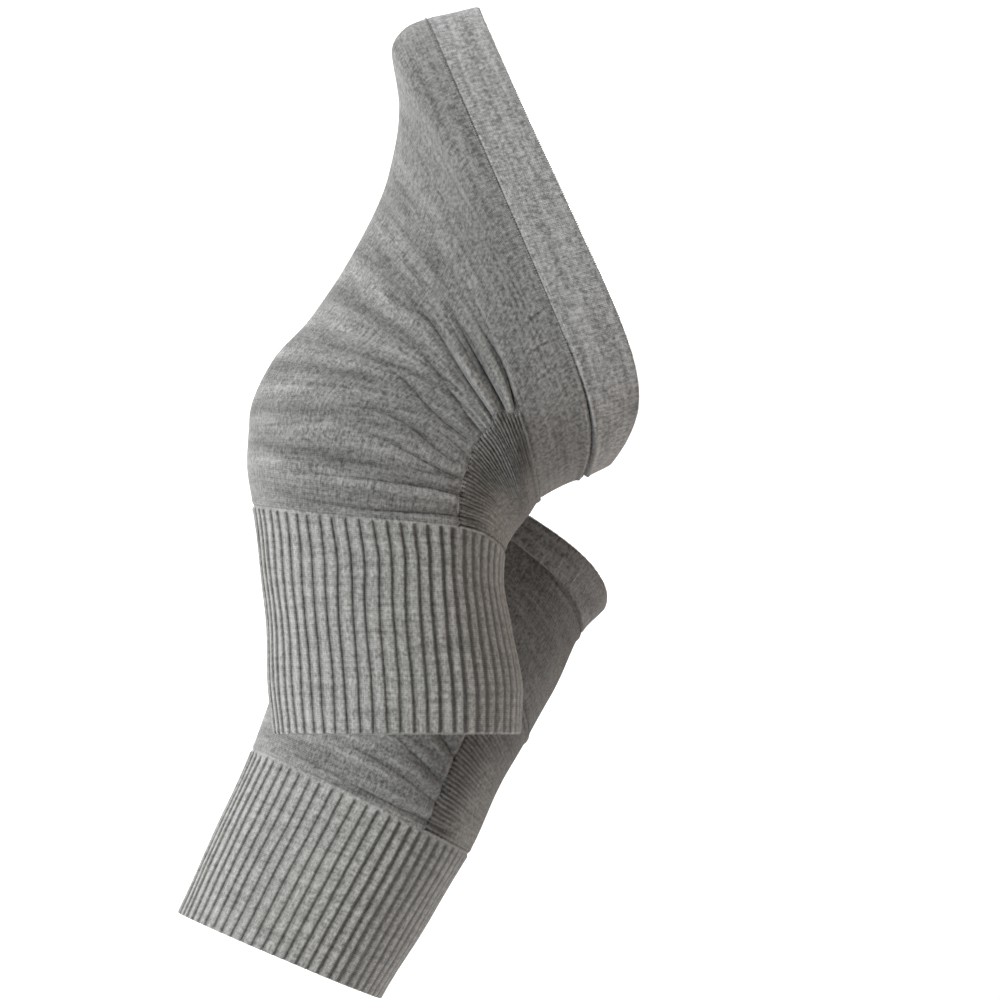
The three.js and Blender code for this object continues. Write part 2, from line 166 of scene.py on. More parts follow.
# Courses knitted with a lighter or darker stretch of marled yarn: middle and half breadth in courses,
# and how much lighter or darker.
STREAK_COLUMNS = ("course", "half", "tone")
NEAR_STREAKS = [
    (4.35, 0.16, -0.10), (4.98, 0.20, 0.12), (5.32, 0.14, -0.13), (5.80, 0.18, 0.08),
    (6.12, 0.13, -0.14), (6.52, 0.16, 0.14), (6.90, 0.18, -0.13), (7.22, 0.13, 0.12),
    (7.62, 0.15, -0.09), (8.02, 0.17, 0.19), (8.42, 0.15, -0.12), (8.80, 0.14, 0.16),
    (9.15, 0.12, -0.10), (9.42, 0.10, 0.07), (9.75, 0.12, -0.08), (10.3, 0.20, 0.05),
]
FAR_STREAKS = [
    (2.35, 0.12, -0.10), (2.75, 0.14, 0.10), (3.15, 0.14, -0.12), (3.50, 0.13, 0.12),
    (3.85, 0.14, -0.12), (4.20, 0.15, 0.14), (4.60, 0.15, -0.10), (4.95, 0.12, 0.08),
]

NEAR = {
    "courses": NEAR_COURSES,
    "creases": NEAR_CREASES,
    "pulls": NEAR_PULLS,
    "streaks": NEAR_STREAKS,
    "cuff_top": 4,
    "panel_top": 10,
    "band_seam": 14,
    "thigh_hem": 16,
    "band_pressed": 1.0,
}
FAR = {
    "courses": FAR_COURSES,
    "creases": FAR_CREASES,
    "pulls": FAR_PULLS,
    "streaks": FAR_STREAKS,
    "cuff_top": 2,
    "panel_top": 5,
    "band_seam": 7,
    "thigh_hem": 8,
    "band_pressed": 0.4,
}

WALL = {"cuff": 2.2, "body": 1.8, "panel": 1.6, "band": 2.0}

# How a course swells and leans, as in the cut.
LEAN_ONSET = 1.2
LEAN_SHARPNESS = 11
SWELL_SCALE = 2.598
RING_STEPS = 240
NUDGE = 0.01

NEEDLES = 348  # wales all round, on the cuff six to a rib
COURSE_PITCH = 0.95  # mm of cloth in one course of stitches
TRACE_ROUND = 0.2  # where courses are counted along the wales

# A crease's trough and the soft shoulders beside it, in its own widths.
CREASE_SPREAD = 1.05
CREASE_GAIN = 1.3
SHOULDER_SHARE = 0.38
SHOULDER_PLACE = 2.7
SHOULDER_WIDTH = 1.2

# How far the creases of the hidden side are shifted, in rows of the cut, and how their depth varies.
HIDDEN_SHIFT = 0.09
HIDDEN_VARIETY = 0.2

FOLDS = 10.5  # fine folds along the back panel
FOLD_DEPTH = 0.5  # mm
# The next number paints shade at the bottom of each fine fold.
FOLD_PAINTED_SHADE = 0.065  # how much darker a fold's bottom is

# How far the painted shade of a narrow line reaches beside it, in mm.
LINE_REACH = 2.3
BAND_LINE_REACH = 2.6
PULL_REACH = 6.0


# ---- The tube of cloth ----


def between(values, place):
    """The rows of a table read at places between them, on smooth curves that never overshoot a row."""
    rise = np.diff(values, axis=0)
    before = rise[:-1]
    after = rise[1:]
    same_way = before * after > 0
    total = np.where(same_way, before + after, 1.0)
    inner = np.where(same_way, 2 * before * after / total, 0.0)
    slope = np.vstack([rise[:1], inner, rise[-1:]])
    low = np.clip(np.floor(place).astype(int), 0, len(values) - 2)
    t = np.clip(place - low, 0, 1)[:, None]
    return (
        values[low] * (2 * t**3 - 3 * t**2 + 1)
        + slope[low] * (t**3 - 2 * t**2 + t)
        + values[low + 1] * (3 * t**2 - 2 * t**3)
        + slope[low + 1] * (t**3 - t**2)
    )


def smooth_step(low, high, x):
    """0 below low, 1 above high, and a soft rise between."""
    t = np.clip((x - low) / (high - low), 0, 1)
    return t * t * (3 - 2 * t)


def widest(ovalness):
    """The largest value of sin(a) (ovalness + (1 - ovalness) u), where u is (1 - cos(a)) / 2."""
    oval = (1 + ovalness) / 2
    peak = np.maximum((1 - ovalness) / 2, 1e-6)
    cosine = (oval - np.sqrt(oval**2 + 8 * peak**2)) / (4 * peak)
    return np.where(ovalness > 0.9999, oval, np.sqrt(1 - cosine**2) * (oval - peak * cosine))


def course_points(course, angle):
    """Points of courses, a row each, at angles that run from 0 at the shin side to a full turn."""
    u = (1 - np.cos(angle)) / 2
    side = np.sin(angle)
    chord_x = course["back_x"] - course["front_x"]
    chord_z = course["back_z"] - course["front_z"]
    length = np.hypot(chord_x, chord_z)
    rise = (
        course["swell"] * SWELL_SCALE * u * (1 - u**2)
        + course["lean"] * u**LEAN_ONSET * (1 - u**LEAN_SHARPNESS)
        + course["roll"] * side
    )
    taper = course["ovalness"] + (1 - course["ovalness"]) * u
    x = course["front_x"] + chord_x * u - chord_z / length * rise
    y = course["depth"] - course["half_width"] * side * taper / widest(course["ovalness"])
    z = course["front_z"] + chord_z * u + chord_x / length * rise
    return np.stack([x, y, z], axis=-1)


class Tube:
    """A sleeve's smooth outer face, in mm."""

    def __init__(self, sleeve):
        self.sleeve = sleeve
        self.values = np.array(list(sleeve["courses"].values()), float)
        self.last = len(self.values) - 1
        self.trace = np.linspace(0, self.last, 60 * self.last + 1)
        path = self.points(self.trace, np.full((len(self.trace), 1), TRACE_ROUND))[:, 0]
        steps = np.linalg.norm(np.diff(path, axis=0), axis=1)
        self.traced = np.concatenate([[0], np.cumsum(steps)])

    def course(self, place):
        read = between(self.values, place)
        return {name: read[:, i : i + 1] for i, name in enumerate(COLUMNS)}

    def girth(self, place):
        ring = course_points(self.course(place), np.linspace(0, 2 * np.pi, RING_STEPS + 1)[None])
        return np.linalg.norm(np.diff(ring, axis=1), axis=2).sum(axis=1)[:, None]

    def points(self, place, rounds):
        """Points at rounds measured evenly along each course, one row of rounds for each place."""
        course = self.course(place)
        angles = np.linspace(0, 2 * np.pi, RING_STEPS + 1)
        ring = course_points(course, angles[None])
        steps = np.linalg.norm(np.diff(ring, axis=1), axis=2)
        lengths = np.pad(np.cumsum(steps, axis=1), ((0, 0), (1, 0)))
        turned = np.empty(rounds.shape)
        for row in range(len(place)):
            turns = np.floor(rounds[row])
            wanted = (rounds[row] - turns) * lengths[row, -1]
            turned[row] = np.interp(wanted, lengths[row], angles) + 2 * np.pi * turns
        return course_points(course, turned)

    def surface(self, place, rounds):
        """A stretch of cloth: its points, the way straight out of it, and how long its rows are."""
        low = np.maximum(place - NUDGE, 0)
        high = np.minimum(place + NUDGE, self.last)
        along = self.points(high, rounds) - self.points(low, rounds)
        about = self.points(place, rounds + NUDGE) - self.points(place, rounds - NUDGE)
        outward = np.cross(about, along)
        return Stretch(
            tube=self,
            row=place[:, None],
            rounds=rounds,
            sideways=np.minimum(rounds, 1 - rounds),
            points=self.points(place, rounds),
            outward=outward / np.linalg.norm(outward, axis=-1, keepdims=True),
            row_mm=np.linalg.norm(along, axis=-1) / (high - low)[:, None],
            girth=self.girth(place),
            panel_edge=self.panel_edge(place),
        )

    def courses_knitted(self, place):
        """How many courses of stitches lie below a place."""
        return np.interp(place, self.trace, self.traced) / COURSE_PITCH

    def rows(self, start, end, step):
        """Places from start to end about step mm apart."""
        low, high = np.interp([start, end], self.trace, self.traced)
        count = max(2, math.ceil((high - low) / step))
        return np.interp(np.linspace(low, high, count + 1), self.traced, self.trace)

    def panel_edge(self, place):
        return self.course(place)["panel_edge"]


class Stretch:
    """A stretch of cloth, row by row, with everything that is known of its places."""

    def __init__(self, **known):
        self.__dict__.update(known)


# ---- Relief of the cloth ----


def path_place(path, along):
    """Where a given path lies at places along it: on the smooth curve through its points, and
    ahead of its first point straight on."""
    start, end = zip(*path)
    inside = np.clip(along, min(start), max(start))
    slope = (end[1] - end[0]) / (start[1] - start[0])
    ahead = np.minimum(along - start[0], 0) if start[-1] > start[0] else np.maximum(along - start[0], 0)
    return np.polyval(np.polyfit(start, end, len(path) - 1), inside) + slope * ahead


def creases(stretch):
    """Each crease on both sides of the leg: mm from its bottom, its strength there, depth and width."""
    for index, row in enumerate(stretch.tube.sleeve["creases"]):
        crease = dict(zip(CREASE_COLUMNS, row))
        path = crease["path"]
        for side in (0, 1):
            sideways = stretch.rounds if side == 0 else 1 - stretch.rounds
            shift = side * HIDDEN_SHIFT * math.sin(3.1 * index)
            share = 1 + side * HIDDEN_VARIETY * math.sin(2.3 * index)
            along = (sideways - path[0][0]) / (path[-1][0] - path[0][0])
            distance = (stretch.row - path_place(path, sideways) - shift) * stretch.row_mm
            strength = smooth_step(-0.35, 0.5, along) * (1 - smooth_step(0.94, 1.04, along))
            yield distance, strength * share, crease["depth"], crease["width"]


def pulls(stretch):
    """Each pulled wale, told in the same way."""
    for row in stretch.tube.sleeve["pulls"]:
        pull = dict(zip(CREASE_COLUMNS, row))
        path = [(course, place) for place, course in pull["path"]]
        first, last = path[0][0], path[-1][0]
        for side in (0, 1):
            sideways = stretch.rounds if side == 0 else 1 - stretch.rounds
            along = (stretch.row - first) / (last - first)
            distance = (sideways - path_place(path, stretch.row)) * stretch.girth
            strength = smooth_step(-0.02, 0.2, along) * (1 - smooth_step(0.75, 1.02, along))
            yield distance, strength, pull["depth"], pull["width"]


def gathers(stretch):
    """Fine folds along the courses that run out from the back panel between the creases, from -1 to 1."""
    sleeve = stretch.tube.sleeve
    row = stretch.row
    low = sleeve["cuff_top"]
    high = sleeve["panel_top"]
    reach = smooth_step(0.03, 0.24, stretch.sideways)
    reach = reach * (1 - smooth_step(-0.006, 0.004, stretch.sideways - stretch.panel_edge))
    reach = reach * smooth_step(low + 0.1, low + 0.7, row) * (1 - smooth_step(high - 0.3, high + 0.8, row))
    turn = FOLDS * (row - low) / (high - low)
    turn = turn + 0.16 * np.sin(11 * stretch.rounds + 0.9 * row) + 0.22 * np.sin(1.7 * row)
    size = 0.65 + 0.35 * np.sin(2.3 * row + 7.0 * stretch.rounds + 0.8)
    return reach * size * np.sin(2 * math.pi * turn)


def crease_sink(stretch):
    """How far the creases and fine folds sink the cloth between soft shoulders, in mm."""
    sunk = FOLD_DEPTH * gathers(stretch)
    for distance, strength, depth, width in creases(stretch):
        across = np.abs(distance) / (CREASE_SPREAD * width)
        shoulder = np.exp(-(((across - SHOULDER_PLACE) / SHOULDER_WIDTH) ** 2))
        sunk += CREASE_GAIN * strength * depth * (np.exp(-across) - SHOULDER_SHARE * shoulder)
    return sunk


def unevenness(points):
    """Small soft lumps of cloth that isn't pulled quite flat, in mm."""
    x, y, z = (points[..., i] for i in range(3))
    return (
        0.22 * np.sin(x / 9.1 + 1.3 * np.sin(z / 15.3) + 0.5)
        + 0.20 * np.sin(z / 7.3 + 1.1 * np.sin(y / 11.9) + 2.1)
        + 0.16 * np.sin(y / 5.7 + x / 13.7 + 4.0)
    )


def groove(distance, depth, half_width, shoulder=0.4):
    """A seam's groove, with a low ridge on both sides, at distances in mm from the seam."""
    across = distance / half_width
    return depth * (np.exp(-(across**2)) - shoulder * np.exp(-((np.abs(across) - 2.1) ** 2)))


def seams(stretch):
    """mm from each linked seam, and how much of it there is: cuff, band, panel top and panel edge."""
    sleeve = stretch.tube.sleeve
    beside_panel = stretch.sideways - stretch.panel_edge
    over_panel = smooth_step(-0.004, 0.004, beside_panel)
    below_top = 1 - smooth_step(sleeve["panel_top"], sleeve["panel_top"] + 0.08, stretch.row)
    above_cuff = smooth_step(sleeve["cuff_top"] - 0.02, sleeve["cuff_top"] + 0.02, stretch.row)
    into_hollow = smooth_step(0.30, 0.41, stretch.sideways)
    return {
        "cuff": ((stretch.row - sleeve["cuff_top"]) * stretch.row_mm, 1.0),
        "band": (
            (stretch.row - sleeve["band_seam"]) * stretch.row_mm,
            (0.1 + 0.9 * into_hollow) * sleeve["band_pressed"],
        ),
        "top": ((stretch.row - sleeve["panel_top"]) * stretch.row_mm, over_panel),
        "edge": (beside_panel * stretch.girth, below_top * above_cuff),
    }


def relief(stretch):
    """How far the cloth lies inside its smooth form, in mm."""
    seam = seams(stretch)
    distance, share = seam["top"]
    ridge = 0.6 * np.exp(-(((distance - 0.7) / 0.8) ** 2)) - 0.8 * np.exp(-(((distance + 0.9) / 0.9) ** 2))
    sunk = crease_sink(stretch) + unevenness(stretch.points) + ridge * share
    sunk = sunk + groove(seam["cuff"][0], 0.45, 0.9)
    sunk = sunk + groove(seam["band"][0] - 0.5, 1.5, 1.2) * seam["band"][1]
    return sunk + groove(seam["edge"][0], 0.4, 0.9) * seam["edge"][1]


def lines(stretch):
    """Signed mm from the nearest narrow line in the cloth, and its painted shade: how much darker it is
    painted than the rest, below zero a painted highlight.
    """
    nearest = np.full(stretch.rounds.shape, 9.0)
    shade = np.zeros(stretch.rounds.shape)
    # Painted shade down the bottom of each crease, and painted dark or light lines along the pulled wales.
    drawn = [
        (distance, strength * min(0.9, 0.1 + 0.36 * depth), LINE_REACH)
        for distance, strength, depth, width in creases(stretch)
    ]
    drawn += [
        (distance * 0.45 / width, strength * depth, PULL_REACH)
        for distance, strength, depth, width in pulls(stretch)
    ]
    into_hollow = smooth_step(0.29, 0.40, stretch.sideways)
    seam = seams(stretch)
    pressed = stretch.tube.sleeve["band_pressed"]
    # Painted lines along the seams: shade in the band's seam in the hollow, turning to a painted highlight
    # on it towards the front; a painted highlight on the ridge at the panel's top; a painted shadow above
    # the cuff's lip behind the knee; shade in the groove along the panel's edges.
    drawn.append((seam["band"][0] - 0.5, (-0.3 + 1.7 * into_hollow) * pressed, BAND_LINE_REACH))
    drawn.append((0.6 * seam["top"][0] + 0.3, -0.9 * seam["top"][1], LINE_REACH))
    drawn.append((seam["cuff"][0] - 0.9, 1.2 * smooth_step(0.33, 0.37, stretch.sideways), LINE_REACH))
    drawn.append((seam["edge"][0], 0.4 * seam["edge"][1], LINE_REACH))
    for distance, strength, reach in drawn:
        closer = (np.abs(distance) < np.abs(nearest)) & (np.abs(strength) > 0.02)
        nearest = np.where(closer, distance, nearest)
        faded = strength * (1 - smooth_step(0.65 * reach, reach, np.abs(distance)))
        shade = np.where(closer, faded, shade)
    return nearest, shade


# ---- Meshes ----


def add_object(name, data):
    """A new object in the scene."""
    thing = bpy.data.objects.new(name, data)
    bpy.context.scene.collection.objects.link(thing)
    return thing


def mark(mesh, name, values):
    """Keeps a number on each of the mesh's points."""
    mesh.attributes.new(name, "FLOAT", "POINT").data.foreach_set("value", values)


def closing(tube, rows, hem, radius):
    """How far each row's two faces have come together, from 0 to nearly 1, towards an open hem."""
    mm = np.interp(rows, tube.trace, tube.traced)
    inward = np.clip(radius - np.abs(mm - np.interp(hem, tube.trace, tube.traced)), 0, radius)
    return 0.85 * (1 - np.sqrt(1 - (inward / radius) ** 2))


def hem_rows(tube, hem, inward, radius):
    """Close rows that round an open hem off, from the hem inwards."""
    here = np.interp(hem, tube.trace, tube.traced)
    steps = radius * np.array([0, 0.06, 0.25, 0.6, 1.0])
    return np.interp(here + inward * steps, tube.traced, tube.trace)


def coarse(count, kept):
    """Every second grid line, and the first, the last and the kept ones."""
    chosen = set(range(0, count, 2)) | {0, count - 1} | set(kept)
    return np.array(sorted(chosen))


def cloth_mesh(name, tube, rows, rounds, wall, open_hem=None, hole=None, kept_rows=(), wales=None):
    """A closed wall of cloth on a grid, with an inner face of half as many rows and columns.

    open_hem is a course where its edge shows, and the edge is rounded there. hole gives the rows and
    the columns of an opening, as (first row, last row, first column, last column). The inner face
    keeps the kept rows. wales counts the wales of each column where they aren't even."""
    closed = abs(rounds[0, -1] - rounds[0, 0] - 1) < 1e-9
    stretch = tube.surface(rows, rounds)
    round_off = np.zeros(len(rows))
    if open_hem is not None:
        round_off = closing(tube, rows, open_hem, wall / 2)
    sunk = relief(stretch) + round_off[:, None] * wall / 2
    outer = stretch.points - stretch.outward * sunk[..., None]
    inner = outer - stretch.outward * (wall * (1 - round_off))[:, None, None]

    height, width = rounds.shape
    ring = width - 1 if closed else width
    grids = {"outer": (np.arange(height), np.arange(width))}
    edges = hole or ()
    inner_rows = coarse(height, [*kept_rows, *edges[:2]])
    inner_columns = coarse(width, edges[2:])
    grids["inner"] = (inner_rows, inner_columns)
    corners = []
    for layer, (row_lines, column_lines) in enumerate(grids.values()):
        cells = [
            (row_lines[i], row_lines[i + 1], column_lines[j], column_lines[j + 1])
            for i in range(len(row_lines) - 1)
            for j in range(len(column_lines) - 1)
        ]
        low, high, left, right = np.array(cells).T
        filled = np.ones(len(low), bool)
        if hole:
            filled = ~((low >= hole[0]) & (high <= hole[1]) & (left >= hole[2]) & (right <= hole[3]))
        quad = np.stack([[low, low, high, high], [left, right, right, left]]).transpose(2, 1, 0)[filled]
        if layer:
            quad = quad[:, ::-1]
        corners.append(np.concatenate([quad, np.full((*quad.shape[:2], 1), layer)], axis=2))
    rims = rim_faces(inner_rows, inner_columns, hole, closed)
    flat = np.concatenate([*(c.reshape(-1, 3) for c in corners), *rims])
    sizes = [4] * (len(corners[0]) + len(corners[1])) + [len(face) for face in rims]
    index = flat[:, 2] * height * ring + flat[:, 0] * ring + flat[:, 1] % ring
    used, index = np.unique(index, return_inverse=True)
    ends = np.cumsum(sizes)
    faces = [part.tolist() for part in np.split(index, ends[:-1])]

    layers = np.concatenate([outer[:, :ring].reshape(-1, 3), inner[:, :ring].reshape(-1, 3)])[used]
    mesh = bpy.data.meshes.new(name)
    mesh.from_pydata((layers * MM).tolist(), [], faces)
    uv = mesh.uv_layers.new(name="Stitches")
    knitted = tube.courses_knitted(rows)[flat[:, 0]]
    if wales is None:
        wales = rounds * NEEDLES
    at_corners = wales[flat[:, 0], flat[:, 1]]
    uv.data.foreach_set("uv", np.stack([at_corners, knitted], axis=1).ravel())
    line, shade = lines(stretch)
    grid = {
        "round": rounds,
        "course": np.broadcast_to(stretch.row, rounds.shape),
        # tone: the marled courses' own lighter and darker yarn, less painted shade at the bottom of each
        # fine fold
        "tone": streak_tone(tube.sleeve, rows, rounds) - FOLD_PAINTED_SHADE * gathers(stretch),
        # sunk: the depth of the creases and fine folds, painted as shade down in them and as light on their
        # shoulders
        "sunk": np.clip(crease_sink(stretch), -1, 3),
        "line": line,
        "shade": shade,
        "wale": wales,
    }
    for label, values in grid.items():
        both = np.tile(values[:, :ring].reshape(-1), 2)[used]
        mark(mesh, label, both)
    ways = np.tile(stretch.outward[:, :ring].reshape(-1, 3), (2, 1))[used]
    mesh.attributes.new("outward", "FLOAT_VECTOR", "POINT").data.foreach_set("vector", ways.ravel())
    mark(mesh, "outer", np.repeat([1.0, 0.0], height * ring)[used])
    mesh.shade_smooth()
    mesh.validate()
    return add_object(name, mesh)


def rim_faces(rows, columns, hole, closed):
    """Faces that close the wall's open edges, each from (row, column, layer) corners."""

    def filled(i, j):
        if closed:
            j %= len(columns) - 1
        if not (0 <= i < len(rows) - 1 and 0 <= j < len(columns) - 1):
            return False
        if not hole:
            return True
        in_rows = rows[i] >= hole[0] and rows[i + 1] <= hole[1]
        return not (in_rows and columns[j] >= hole[2] and columns[j + 1] <= hole[3])

    rims = []
    for i in range(len(rows) - 1):
        for j in range(len(columns) - 1):
            if not filled(i, j):
                continue
            low, high = rows[i], rows[i + 1]
            left, right = columns[j], columns[j + 1]
            if not filled(i - 1, j):
                rims.append(rim_face([(low, c) for c in range(left, right + 1)]))
            if not filled(i, j + 1):
                rims.append(rim_face([(r, right) for r in range(low, high + 1)]))
            if not filled(i + 1, j):
                rims.append(rim_face([(high, c) for c in range(right, left - 1, -1)]))
            if not filled(i, j - 1):
                rims.append(rim_face([(r, left) for r in range(high, low - 1, -1)]))
    return rims


def rim_face(edge):
    """One face from an outer edge, given in its face's order, to the inner edge below it."""
    outer = [(*place, 0) for place in reversed(edge)]
    return [*outer, (*edge[0], 1), (*edge[-1], 1)]


def streak_tone(sleeve, place, rounds):
    """How much lighter or darker the marled yarn is, fading away from the knee's front."""
    row = place[:, None]
    waver = 0.05 * np.sin(rounds * 41 + 2.0 * np.sin(rounds * 17)) + 0.03 * np.sin(rounds * 90 + row * 3)
    tone = np.zeros(rounds.shape)
    for index, values in enumerate(sleeve["streaks"]):
        streak = dict(zip(STREAK_COLUMNS, values))
        across = (row + waver - streak["course"]) / streak["half"]
        patch = 0.75 + 0.25 * np.sin(rounds * 60 + 1.7 * index)
        tone += streak["tone"] * np.exp(-(across**2)) * patch
    sideways = np.minimum(rounds, 1 - rounds)
    return tone * (1 - smooth_step(0.17, 0.27, sideways))


def fitted_rounds(tube, rows, outside, inside):
    """Rounds whose columns follow the panel's edges: outside columns each side of it, inside over it."""
    edge = tube.panel_edge(rows)
    t = np.linspace(0, 1, outside + 1)[None]
    s = np.linspace(0, 1, inside + 1)[None]
    first = edge * t
    middle = edge + (1 - 2 * edge) * s
    return np.hstack([first[:, :-1], middle, (1 - first)[:, ::-1][:, 1:]])


# ---- Node trees ----


def add(tree, kind, inputs=None, **settings):
    """A new node. settings are its properties, and inputs its sockets, each given a value or a link."""
    node = tree.nodes.new(kind)
    for name, value in settings.items():
        setattr(node, name, value)
    for key, value in (inputs or {}).items():
        if isinstance(value, bpy.types.NodeSocket):
            tree.links.new(value, node.inputs[key])
        else:
            node.inputs[key].default_value = value
    return node


def maths(tree, operation, *values):
    return add(tree, "ShaderNodeMath", dict(enumerate(values)), operation=operation).outputs[0]


def ranged(tree, value, low, high, new_low, new_high, **settings):
    inputs = {0: value, 1: low, 2: high, 3: new_low, 4: new_high}
    return add(tree, "ShaderNodeMapRange", inputs, clamp=True, **settings).outputs[0]


def ranged_smooth(tree, *values):
    return ranged(tree, *values, interpolation_type="SMOOTHSTEP")


def geometry_tree(name, sockets):
    """An empty Geometry Nodes tree with named inputs, given as (name, kind, default)."""
    tree = bpy.data.node_groups.new(name, "GeometryNodeTree")
    tree.interface.new_socket("Geometry", in_out="INPUT", socket_type="NodeSocketGeometry")
    tree.interface.new_socket("Geometry", in_out="OUTPUT", socket_type="NodeSocketGeometry")
    for label, kind, default in sockets:
        socket = tree.interface.new_socket(label, in_out="INPUT", socket_type=kind)
        if default is not None:
            socket.default_value = default
    return tree, add(tree, "NodeGroupInput")


def finish_tree(tree, start, geometry):
    """Ends a tree as real geometry in its own material."""
    real = add(tree, "GeometryNodeRealizeInstances", {0: geometry})
    dyed = add(tree, "GeometryNodeSetMaterial", {0: real.outputs[0], "Material": start.outputs["Material"]})
    add(tree, "NodeGroupOutput", {0: dyed.outputs[0]})
    return tree


def named(tree, name, kind="FLOAT"):
    return add(tree, "GeometryNodeInputNamedAttribute", {0: name}, data_type=kind).outputs[0]


def rib_tree():
    """Raises ribs that run along the wales, each falling off steeply into the recess beside it."""
    tree, start = geometry_tree(
        "Knitted Ribs",
        [
            ("Wales in a rib", "NodeSocketFloat", 6.0),
            ("Height", "NodeSocketFloat", 0.0012),
            ("Top", "NodeSocketFloat", 4.0),
            ("Rounding", "NodeSocketFloat", 0.07),
            ("Material", "NodeSocketMaterial", None),
        ],
    )
    height, top, rounding = (start.outputs[k] for k in ("Height", "Top", "Rounding"))
    turn = maths(tree, "DIVIDE", named(tree, "wale"), start.outputs["Wales in a rib"])
    course = named(tree, "course")
    phase = maths(tree, "FRACT", turn)
    curve = add(tree, "ShaderNodeFloatCurve", {1: phase})
    draw_curve(curve, RIB_PROFILE)
    shade = add(tree, "ShaderNodeFloatCurve", {1: phase})
    draw_curve(shade, RIB_SHADE)
    single = add(
        tree,
        "ShaderNodeTexNoise",
        {"W": maths(tree, "MULTIPLY", maths(tree, "FLOOR", turn), 7.31), "Scale": 1.0, "Detail": 0.0},
        noise_dimensions="1D",
    ).outputs[0]
    lumps = cloth_noise(tree, 1.5, 9.0, 2.0)
    size = maths(tree, "MULTIPLY", height, ranged(tree, single, 0.25, 0.75, 0.85, 1.12))
    size = maths(tree, "MULTIPLY", size, ranged(tree, lumps, 0.3, 0.7, 0.86, 1.14))
    starts = maths(tree, "SUBTRACT", top, maths(tree, "MULTIPLY", single, 0.035))
    fade = ranged_smooth(tree, course, starts, maths(tree, "SUBTRACT", starts, rounding), 0.0, 1.0)
    lifted = maths(tree, "SUBTRACT", curve.outputs[0], RIB_LEVEL)
    even = maths(tree, "MULTIPLY", lifted, fade)
    both = ranged(tree, named(tree, "outer"), 0.0, 1.0, 0.7, 1.0)
    inward = from_hollow(tree)
    lower = ranged_smooth(tree, inward, 0.28, 0.14, 1.0, 0.5)
    rise = maths(tree, "MULTIPLY", maths(tree, "MULTIPLY", even, size), maths(tree, "MULTIPLY", both, lower))
    moved = lift(tree, start.outputs[0], rise)
    # Painted shade: the dark of the recess is widened and deepened towards the hollow, where the ribs turn
    # away from the light.
    wider = ranged_smooth(tree, inward, 0.26, 0.12, 1.0, 2.6)
    recess = maths(tree, "MINIMUM", maths(tree, "MULTIPLY", shade.outputs[0], wider), 1.0)
    deeper = ranged_smooth(tree, inward, 0.34, 0.16, 0.8, 1.25)
    recess = maths(tree, "MULTIPLY", maths(tree, "MULTIPLY", recess, fade), deeper)
    stored = store(tree, moved, "recess", recess)
    return finish_tree(tree, start, stored)


# (place across one rib, height): a flat recess, a gentle rise and a steep fall.
RIB_PROFILE = [
    (0.0, 0.12), (0.04, 0.0), (0.10, 0.02), (0.24, 0.12), (0.36, 0.42), (0.48, 0.74),
    (0.62, 0.93), (0.78, 1.0), (0.88, 0.96), (0.94, 0.78), (0.97, 0.45), (1.0, 0.12),
]
# (place across one rib, how much painted shade it has): the recess and the steep fall beside it are painted
# darker, where shade falls on the ribbed cuff.
RIB_SHADE = [
    (0.0, 1.0), (0.04, 0.95), (0.10, 0.62), (0.22, 0.42), (0.34, 0.18),
    (0.46, 0.03), (0.78, 0.0), (0.86, 0.18), (0.92, 0.62), (1.0, 1.0),
]
# Where the mesh's columns lie across one rib.
RIB_PHASES = (0.0, 0.035, 0.08, 0.17, 0.29, 0.41, 0.54, 0.69, 0.83, 0.91, 0.95, 0.975)
RIB_LEVEL = 0.55  # the height that stays where the smooth cloth was


def cloth_noise(tree, wale_scale, course_scale, detail):
    """Noise laid on the cloth, scaled apart along its wales and along the rows of the cut."""
    wale = maths(tree, "MULTIPLY", named(tree, "wale"), wale_scale)
    course = maths(tree, "MULTIPLY", named(tree, "course"), course_scale)
    place = add(tree, "ShaderNodeCombineXYZ", {0: wale, 1: course}).outputs[0]
    return add(tree, "ShaderNodeTexNoise", {"Vector": place, "Scale": 1.0, "Detail": detail}).outputs[0]


def from_hollow(tree):
    """How far round the leg a place lies from the middle of the hollow of the knee."""
    return maths(tree, "ABSOLUTE", maths(tree, "SUBTRACT", named(tree, "round"), 0.5))


def lift(tree, geometry, rise):
    """Moves the cloth straight out by rise."""
    inputs = {0: named(tree, "outward", "FLOAT_VECTOR"), "Scale": rise}
    way = add(tree, "ShaderNodeVectorMath", inputs, operation="SCALE").outputs[0]
    return add(tree, "GeometryNodeSetPosition", {0: geometry, "Offset": way}).outputs[0]


def store(tree, geometry, name, value, kind="FLOAT"):
    """Keeps a value on the points for a later node or the material to read."""
    inputs = {0: geometry, "Name": name, "Value": value}
    node = add(tree, "GeometryNodeStoreNamedAttribute", inputs, data_type=kind, domain="POINT")
    return node.outputs[0]


def draw_curve(node, points):
    """Sets a Float Curve node's own curve."""
    curve = node.mapping.curves[0]
    while len(curve.points) > 2:
        curve.points.remove(curve.points[1])
    curve.points[0].location = points[0]
    curve.points[-1].location = points[-1]
    for place in points[1:-1]:
        curve.points.new(*place)
    node.mapping.update()


